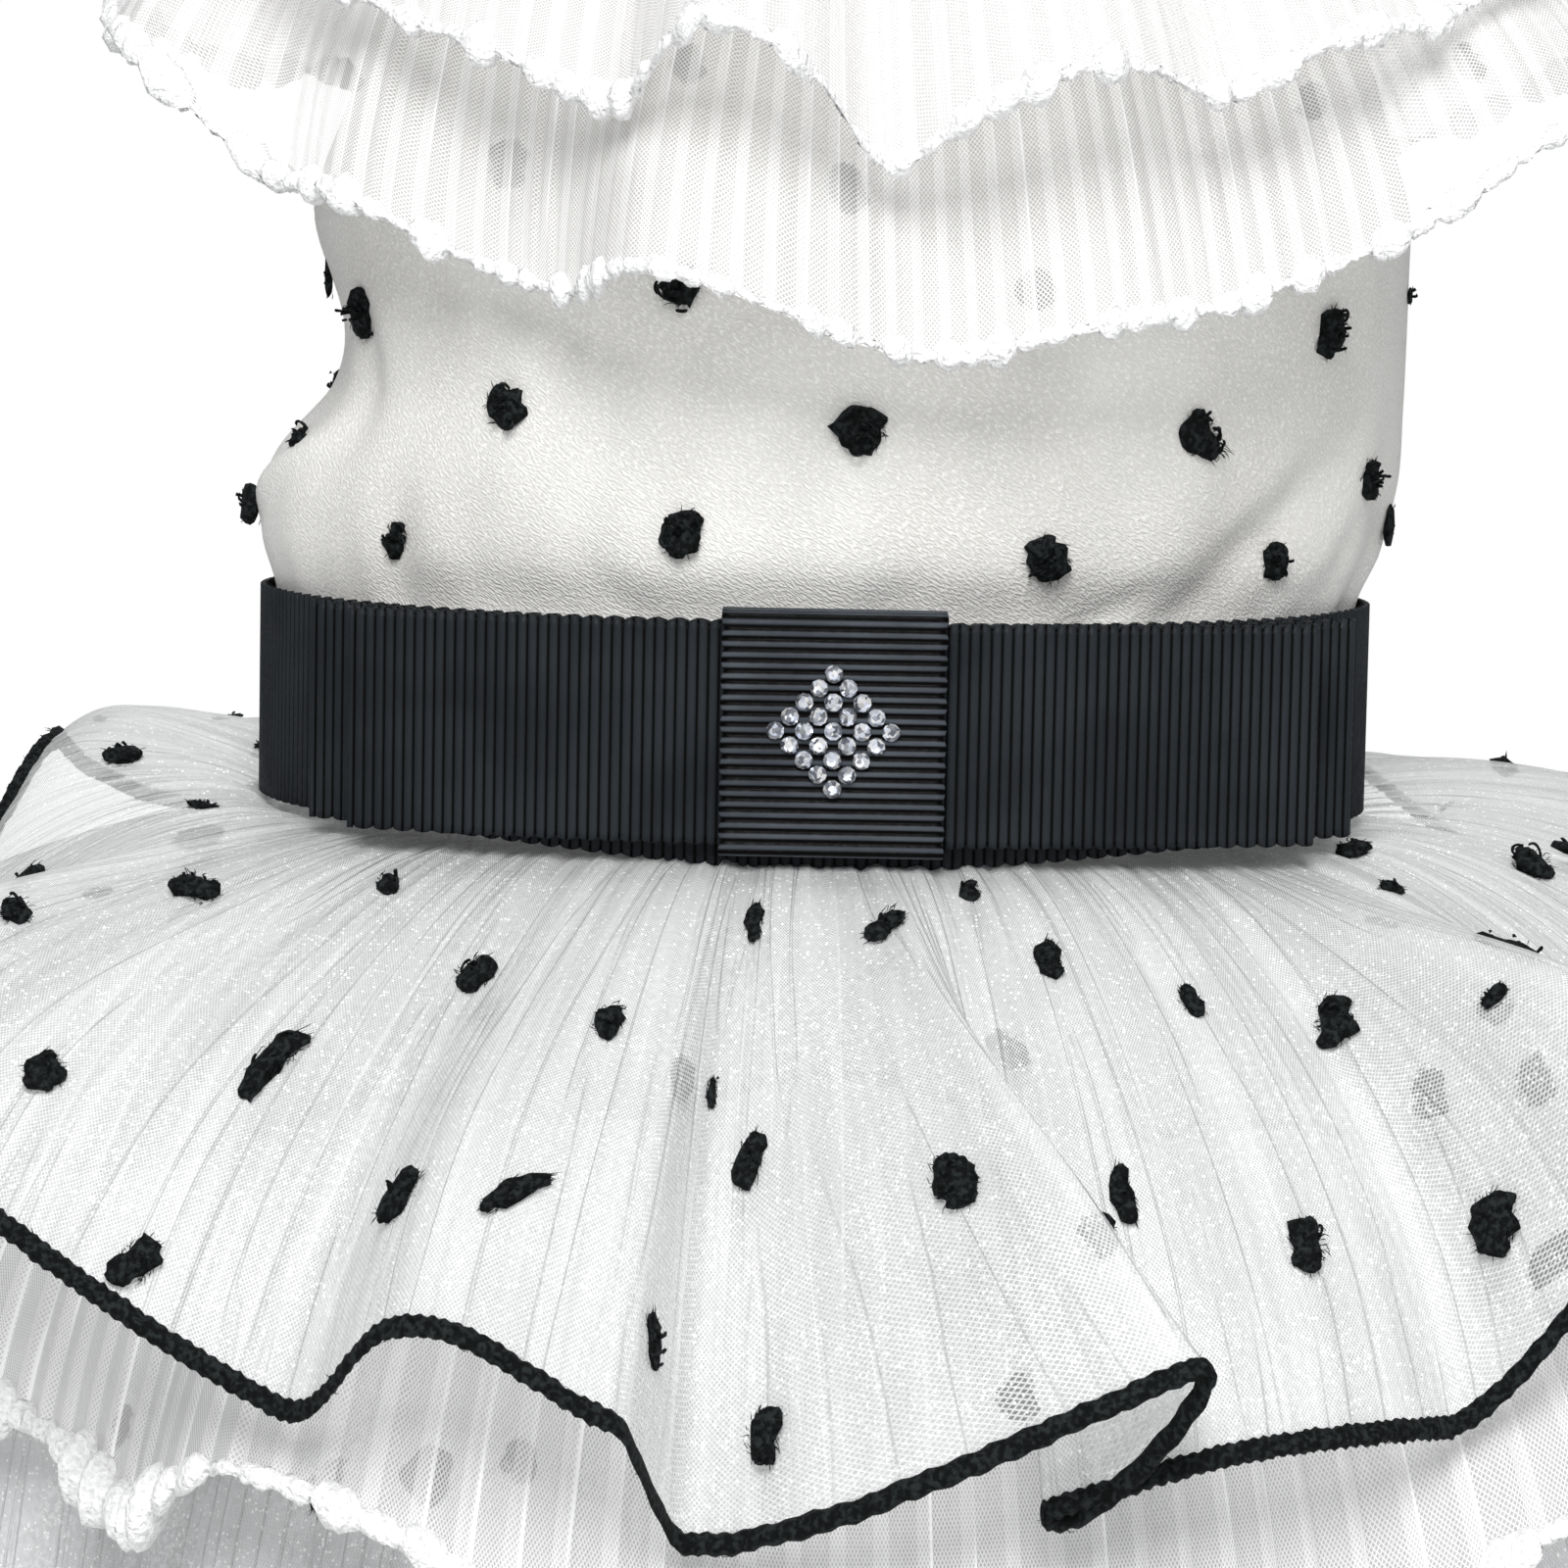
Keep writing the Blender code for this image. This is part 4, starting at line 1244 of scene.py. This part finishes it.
def add_tuft(whole, spot, normal, size, turn, seed, fine, loops, across=None):
    """A ragged tuft of yarn: a lumpy core with curled loops of thread over it and a fuzz of hairs."""
    shape = bmesh.new()
    long, wide, high = size
    side = normal.cross(UP) if across is None else across - normal * across.dot(normal)
    side = side.normalized() if side.length > 0.01 else ACROSS
    turned_to = Matrix((side, side.cross(normal) * -1.0, normal)).transposed()
    stand = turned_to @ Matrix.Rotation(math.radians(turn), 3, "Z")
    half = Vector((wide / 2.0, long / 2.0, wide * high)) * MM
    bend = 0.07 * (chance(seed, 2.0) - 0.5) * long * MM

    def on_tuft(x, y, z):
        """A place from -1 to 1 over the tuft's length and width, with its bend, in the scene."""
        return spot + stand @ Vector((x * half.x + bend * y * y, y * half.y, (z + 0.6) * half.z))

    core = bmesh.ops.create_icosphere(shape, subdivisions=3 if fine else 2, radius=0.86)
    for vert in core["verts"]:
        blunt = math.sin(vert.co.y * math.pi / 2.0)
        real = Vector((vert.co.x * half.x, blunt * half.y, vert.co.z * half.z)) / MM
        lobe = noise.noise(real * 0.55 + Vector((seed * 3.7, 0.0, 0.0)))
        knob = noise.noise(real * 1.5 + Vector((0.0, seed * 5.1, 0.0)))
        grown = 1.0 + 0.42 * lobe + 0.34 * knob
        ragged = 1.0 + 0.55 * noise.noise(Vector((real.y * 0.9, seed * 1.9, math.copysign(0.5, real.x))))
        vert.co = on_tuft(vert.co.x * grown * ragged, blunt * (0.6 + 0.4 * grown), vert.co.z * grown)
    for loop in range(loops):
        angle = 2.0 * math.pi * (loop + chance(seed, loop + 3.0)) / loops
        far = 0.15 + 0.65 * chance(seed, loop + 30.0)
        centre = (far * math.cos(angle), far * math.sin(angle))
        grown = 0.20 + 0.24 * chance(seed, loop + 60.0)
        arc = 2.4 + 2.6 * chance(seed, loop + 90.0)
        lean = 1.2 * chance(seed, loop + 120.0) - 0.6
        points = []
        steps = 8 if fine else 5
        for step in range(steps + 1):
            at = angle + arc * (step / steps - 0.5)
            x = centre[0] + grown * math.cos(at)
            y = centre[1] + grown * math.sin(at) * half.x / half.y
            points.append(on_tuft(x, y, 0.55 + lean * math.sin(at) * 0.8))
        add_strand(shape, points, (0.20 if fine else 0.24) * MM, normal, sides=4 if fine else 3)
    hairs = 60 if fine else 8
    for hair in range(hairs):
        angle = 2.0 * math.pi * chance(seed, hair + 150.0)
        x = math.cos(angle) * 0.85
        y = math.sin(angle) * 0.85
        curl = 0.8 * chance(seed, hair + 200.0) - 0.4
        grown = 1.08 + 0.42 * chance(seed, hair + 250.0) ** 2
        lift = chance(seed, hair + 300.0)
        tip = (x * grown - y * curl * 0.4, y * grown + x * curl * 0.4)
        points = [
            on_tuft(x * 0.8, y * 0.8, lift * 0.8 - 0.2),
            on_tuft(x, y, lift - 0.1),
            on_tuft((x + tip[0]) / 2.0 + curl * 0.05, (y + tip[1]) / 2.0, lift),
            on_tuft(*tip, lift),
        ]
        add_strand(shape, points, 0.06 * MM, normal, sides=3)
    close_strands(shape)
    join_shape(whole, shape)


def tufts_in_view(shape, tufts, tree, seed, loops=9, behind=0.0):
    """Tufts where the photograph shows them, on the first cloth that the camera meets, or behind it."""
    across = CAMERA.matrix_world.to_3x3() @ Vector((-1.0, 0.0, 0.0))
    for number, tuft in enumerate(tufts):
        eye, way = line_of_sight(tuft.x, tuft.y)
        spot, normal, _, _ = tree.ray_cast(eye, way)
        if spot is None:
            continue
        if normal.dot(way) > 0.0:
            normal = -normal
        high = FLAT_TUFT if behind else ROUND_TUFT
        size = (tuft.long, tuft.wide, high)
        add_tuft(shape, spot - normal * behind, normal, size, tuft.turn, seed + number, True, loops, across)


def tuft_at(shape, spot, above, seed):
    """A plainer tuft of its own size and turn, where the photograph doesn't show the cloth."""
    size = (4.6 + 2.4 * chance(seed, 3.0), 2.6 + 2.2 * chance(seed, 4.0), ROUND_TUFT)
    add_tuft(shape, spot, (above - spot).normalized(), size, 140.0 * chance(seed, 5.0) - 70.0, seed, False, 5)


def finish_tufts(name, shape):
    piece = finish_piece(name, shape, YARN)


def bodice_tufts(panels):
    """The photograph's own tufts in front, then staggered rows round the sides and the back."""
    shape = bmesh.new()
    tufts_in_view(shape, BODICE_TUFTS, surface_tree(panels), 11.0, 24)
    for row, column in product(range(BODICE_TUFT_ROWS), range(BODICE_TUFT_COLUMNS)):
        height = (8.0 + 13.6 * row) * MM
        azimuth = (column + 0.5 * (row % 2)) * 2.0 * math.pi / BODICE_TUFT_COLUMNS
        hidden = abs(turned(azimuth)) > math.radians(74.0)
        at_seam = abs(abs(turned(azimuth)) - math.pi / 2.0) < bodice_edge(height) + 0.08
        if hidden and not at_seam:
            spot = bodice_point(azimuth, height, CLOTH / 2.0)
            tuft_at(shape, spot, bodice_point(azimuth, height, 2.0 * MM), 100.0 + row * 20 + column)
    finish_tufts("bodice_tufts", shape)


def in_photo(spot, tree):
    """Whether this place is inside the picture and close to the first cloth that the camera meets."""
    way = spot - CAMERA.location
    sight = CAMERA.rotation_quaternion.inverted() @ way
    half_view = -sight.z * PHOTO_PIXELS / 2.0 / LENS_PIXELS
    if abs(sight.x) > half_view or abs(sight.y) > half_view:
        return False
    met = tree.ray_cast(CAMERA.location, way.normalized())[0]
    return met is not None and (met - spot).length < SEEN_DEPTH


def layer_tufts(name, layer, panels, in_view, stops, count, raised, seed):
    """Tufts on an organza tier: the photograph's own in front, then an even staggered scatter elsewhere."""
    shape = bmesh.new()
    tree = surface_tree(panels)
    tufts_in_view(shape, in_view, tree, seed)
    for row, stop in enumerate(stops):
        for column in range(count):
            azimuth = (column + 0.5 * (row % 2)) * 2.0 * math.pi / count
            own = seed + row * 40.0 + column
            azimuth += 0.07 * (chance(own, 1.0) - 0.5)
            along = stop + 0.09 * (chance(own, 2.0) - 0.5)
            low = raised(azimuth, along)
            spot = layer_point(layer, azimuth, along, low)
            if not in_photo(spot, tree):
                tuft_at(shape, spot, layer_point(layer, azimuth, along, low + 2.0 * MM), own)
    finish_tufts(name, shape)


def hidden_tufts(name, tufts, panels, seed, behind):
    """Flat tufts on the cloth under these panels, seen through their net."""
    shape = bmesh.new()
    tufts_in_view(shape, tufts, surface_tree(panels), seed, behind=behind)
    finish_tufts(name, shape)


# Stones on the knot

STONE_RADIUS = 1.02 * MM
STONE_TABLE = 0.52 * STONE_RADIUS
STONE_PITCH = 2.25 * MM
STONE_ROWS = 5


def make_stones(front_y):
    """A plain lozenge of small foil-backed stones, five by five, standing on its corner."""
    shape = bmesh.new()
    facing = Matrix.Rotation(math.radians(90.0), 3, "X")
    step = STONE_PITCH / math.sqrt(2.0)
    for row, column in product(range(STONE_ROWS), repeat=2):
        lean = Vector((chance(row, column + 5.0) - 0.5, chance(row + 5.0, column) - 0.5, 6.0))
        turn = Matrix.Rotation(0.6 * chance(row + 1.0, column + 2.0), 3, "Z")
        stand = facing @ lean.to_track_quat("Z", "Y").to_matrix() @ turn
        up = (column + row - STONE_ROWS + 1) * step + 0.6 * MM - BELT_BELOW_NECK
        place = Vector((BOW_SHIFT + (column - row) * step, front_y, up))
        for top_radius, depth, middle in ((STONE_TABLE, 0.55, 0.62), (STONE_RADIUS, 0.35, 0.17)):
            made = bmesh.ops.create_cone(
                shape, cap_ends=True, segments=10, radius1=STONE_RADIUS, radius2=top_radius, depth=depth * MM
            )
            for vert in made["verts"]:
                vert.co = place + stand @ (vert.co + middle * MM * UP)
    finish_piece("knot_stones", shape, STONE, smooth=False)


# The dress

BODICE_LOW = -12.3 * MM
BODICE_HIGH = 110.0 * MM
BAND_HALF_HEIGHT = 1.3 * MM
BAND_HALF_WIDTH = 2.3 * MM
BAND_PUCKERS = 96.0
FRILL_PLEAT_DEPTH = 0.55 * MM
FRILL_PLEAT_WANDER = 0.95
LOWER_PLEATS = 150
UPPER_PLEATS = 132
TIER_2_PLEATS = 156
BLOCKS_LEFT_OF = -66.0 * MM


def make_bodice():
    made = []
    for side, half in enumerate(HALVES):

        def place(across, down, side=side):
            height = BODICE_LOW + (1.0 - down) * (BODICE_HIGH - BODICE_LOW)
            return bodice_point(half_azimuth(side, across, bodice_edge(height)), height)

        shape = laid_grid(170, 110, place, as_laid)
        piece = finish_piece(f"bodice_{half}_satin", shape, SATIN)
        thicken(piece, CLOTH)
        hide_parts(f"bodice_{half}")
        made.append(piece)
    return made


def make_neck_band():
    """A folded satin band over the neck seam, rounded, with a little puckering from its stitches."""
    middle = LAYER_STEP + FRILL_EASE / 2.0
    height = NECK_HEIGHT + CLOTH / 2.0 + SEAM + BAND_HALF_HEIGHT

    def place(across, down):
        azimuth = 2.0 * math.pi * across
        angle = 2.0 * math.pi * down
        pucker = 1.0 + 0.05 * math.sin(BAND_PUCKERS * azimuth)
        out = middle + BAND_HALF_WIDTH * math.cos(angle) * pucker
        up = height + BAND_HALF_HEIGHT * math.sin(angle) * pucker
        return oval(NECK_HALF_WIDTH + out, NECK_HALF_DEPTH + out, LEAN, azimuth, up)

    shape = laid_grid(576, 14, place, as_laid, closed_across=True, closed_down=True)
    bmesh.ops.recalc_face_normals(shape, faces=shape.faces)
    piece = finish_piece("neck_band_satin", shape, BAND_SATIN)
    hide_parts("neck_band")


def make_frills():
    lower = pleats_of(LOWER_PLEATS, FRILL_PLEAT_DEPTH, FRILL_PLEAT_WANDER)
    upper = pleats_of(UPPER_PLEATS, FRILL_PLEAT_DEPTH, FRILL_PLEAT_WANDER)
    lower_hem = fluffy_hem("lower_frill_fluff", LOWER_FRILL, lower, 80, 1.9 * MM, 1.7 * MM, 3.0)
    upper_hem = fluffy_hem("upper_frill_fluff", UPPER_FRILL, upper, 72, 2.0 * MM, 1.8 * MM, 8.0)
    frill = layer_halves(
        "lower_frill_net", "lower_frill", LOWER_FRILL, LOWER_PLEATS * 3, 30, lower, LOWER_PLEATS, TULLE,
        tucked=False,
    )
    layer_halves(
        "upper_frill_net", "upper_frill", UPPER_FRILL, UPPER_PLEATS * 3, 26, upper, UPPER_PLEATS, TULLE,
        tucked=False,
    )
    hidden_tufts("frill_hidden_tufts", FRILL_TUFTS, frill, 500.0, 1.2 * MM)


def make_skirt():
    pleated = pleats_of(TIER_2_PLEATS, 1.1 * MM, 0.4)
    top = overlocked_hem("tier_1_overlock", "tier_1_hem", TIER_1, gathers, 0.34 * MM, 1.2 * MM, 1.0 * MM, 420)
    low = overlocked_hem("tier_3_overlock", "tier_3_hem", TIER_3, gathers, 0.5 * MM, 1.1 * MM, 0.9 * MM, 200)
    puffs = fluffy_hem("tier_2_fluff", TIER_2, pleated, 84, 2.1 * MM, 1.5 * MM, 5.0, BLOCKS_LEFT_OF)
    tier_1 = layer_halves(
        "tier_1_organza", "tier_1", TIER_1, 420, 52, gathers, 1, ORGANZA
    )
    tier_2 = layer_halves(
        "tier_2_net", "tier_2", TIER_2, TIER_2_PLEATS * 3, 34, pleated, TIER_2_PLEATS, SHADED_SKIRT_TULLE,
    )
    tier_3 = layer_halves(
        "tier_3_organza", "tier_3", TIER_3, 240, 36, gathers, 1, SHADED_LOW_ORGANZA
    )
    layer_tufts("tier_1_tufts", TIER_1, tier_1, TIER_1_TUFTS, (0.2, 0.42, 0.64, 0.86), 22, gathers, 300.0)
    layer_tufts("tier_3_tufts", TIER_3, tier_3, (), (0.34, 0.56, 0.78), 22, gathers, 700.0)
    hidden_tufts("skirt_hidden_tufts", UNDER_TUFTS, tier_1 + tier_2, 600.0, 2.3 * MM)


# Studio

SKY_STRENGTH = 0.37
FLOOR_DROP = 12.0 * MM


def make_studio():
    """A white backdrop that lights the dress softly, three soft lamps and the floor."""
    world = bpy.data.worlds.new("studio")
    bpy.context.scene.world = world
    world.use_nodes = True
    tree = world.node_tree
    tree.nodes.clear()
    seen = add_node(tree, "Background", {"Color": (1.0, 1.0, 1.0), "Strength": 1.0}).outputs[0]
    soft = add_node(tree, "Background", {"Color": (0.97, 0.985, 1.0), "Strength": SKY_STRENGTH}).outputs[0]
    by_camera = add_node(tree, "LightPath", {}).outputs["Is Camera Ray"]
    choose = add_node(tree, "MixShader", {0: by_camera, 1: soft, 2: seen})
    add_node(tree, "OutputWorld", {"Surface": choose.outputs[0]})
    add_softbox("key_softbox", (-0.06, -0.92, 0.60), 0.5, 12.2)
    add_softbox("fill_softbox", (0.75, -0.70, 0.10), 0.6, 1.0)
    add_softbox("back_softbox", (0.10, 0.95, 0.60), 0.7, 3.0)
    make_floor()
    bpy.context.scene.view_settings.view_transform = "Standard"


def add_softbox(name, spot, size, power):
    light = bpy.data.objects.new(name, bpy.data.lights.new(name, "AREA"))
    light.data.size = size
    light.data.energy = power
    light.location = spot
    aim = Vector((0.0, 0.0, -0.12)) - Vector(spot)
    light.rotation_euler = aim.to_track_quat("-Z", "Y").to_euler()
    bpy.context.scene.collection.objects.link(light)


def make_floor():
    """A round pale floor that fades out at its rim."""
    shape = bmesh.new()
    bmesh.ops.create_circle(shape, cap_ends=True, segments=96, radius=0.9)
    mesh = bpy.data.meshes.new("studio_floor")
    shape.to_mesh(mesh)
    shape.free()
    floor = bpy.data.objects.new("studio_floor", mesh)
    floor.location = (0.0, 0.0, cad_box[0][2] - FLOOR_DROP)
    bpy.context.scene.collection.objects.link(floor)
    finish, tree, shader = new_finish("pale_floor", 0.8)
    shader["Base Color"].default_value = (0.93, 0.93, 0.93, 1.0)
    out = add_node(tree, "VectorMath", {0: object_place(tree)}, operation="LENGTH").outputs["Value"]
    tree.links.new(map_range(tree, out, 0.30, 0.85, 1.0, 0.0), shader["Alpha"])
    floor.data.materials.append(finish)


bodice = make_bodice()
bodice_tufts(bodice)
make_neck_band()
make_frills()
stone_face = make_ribbons()
make_stones(stone_face)
make_skirt()
make_studio()
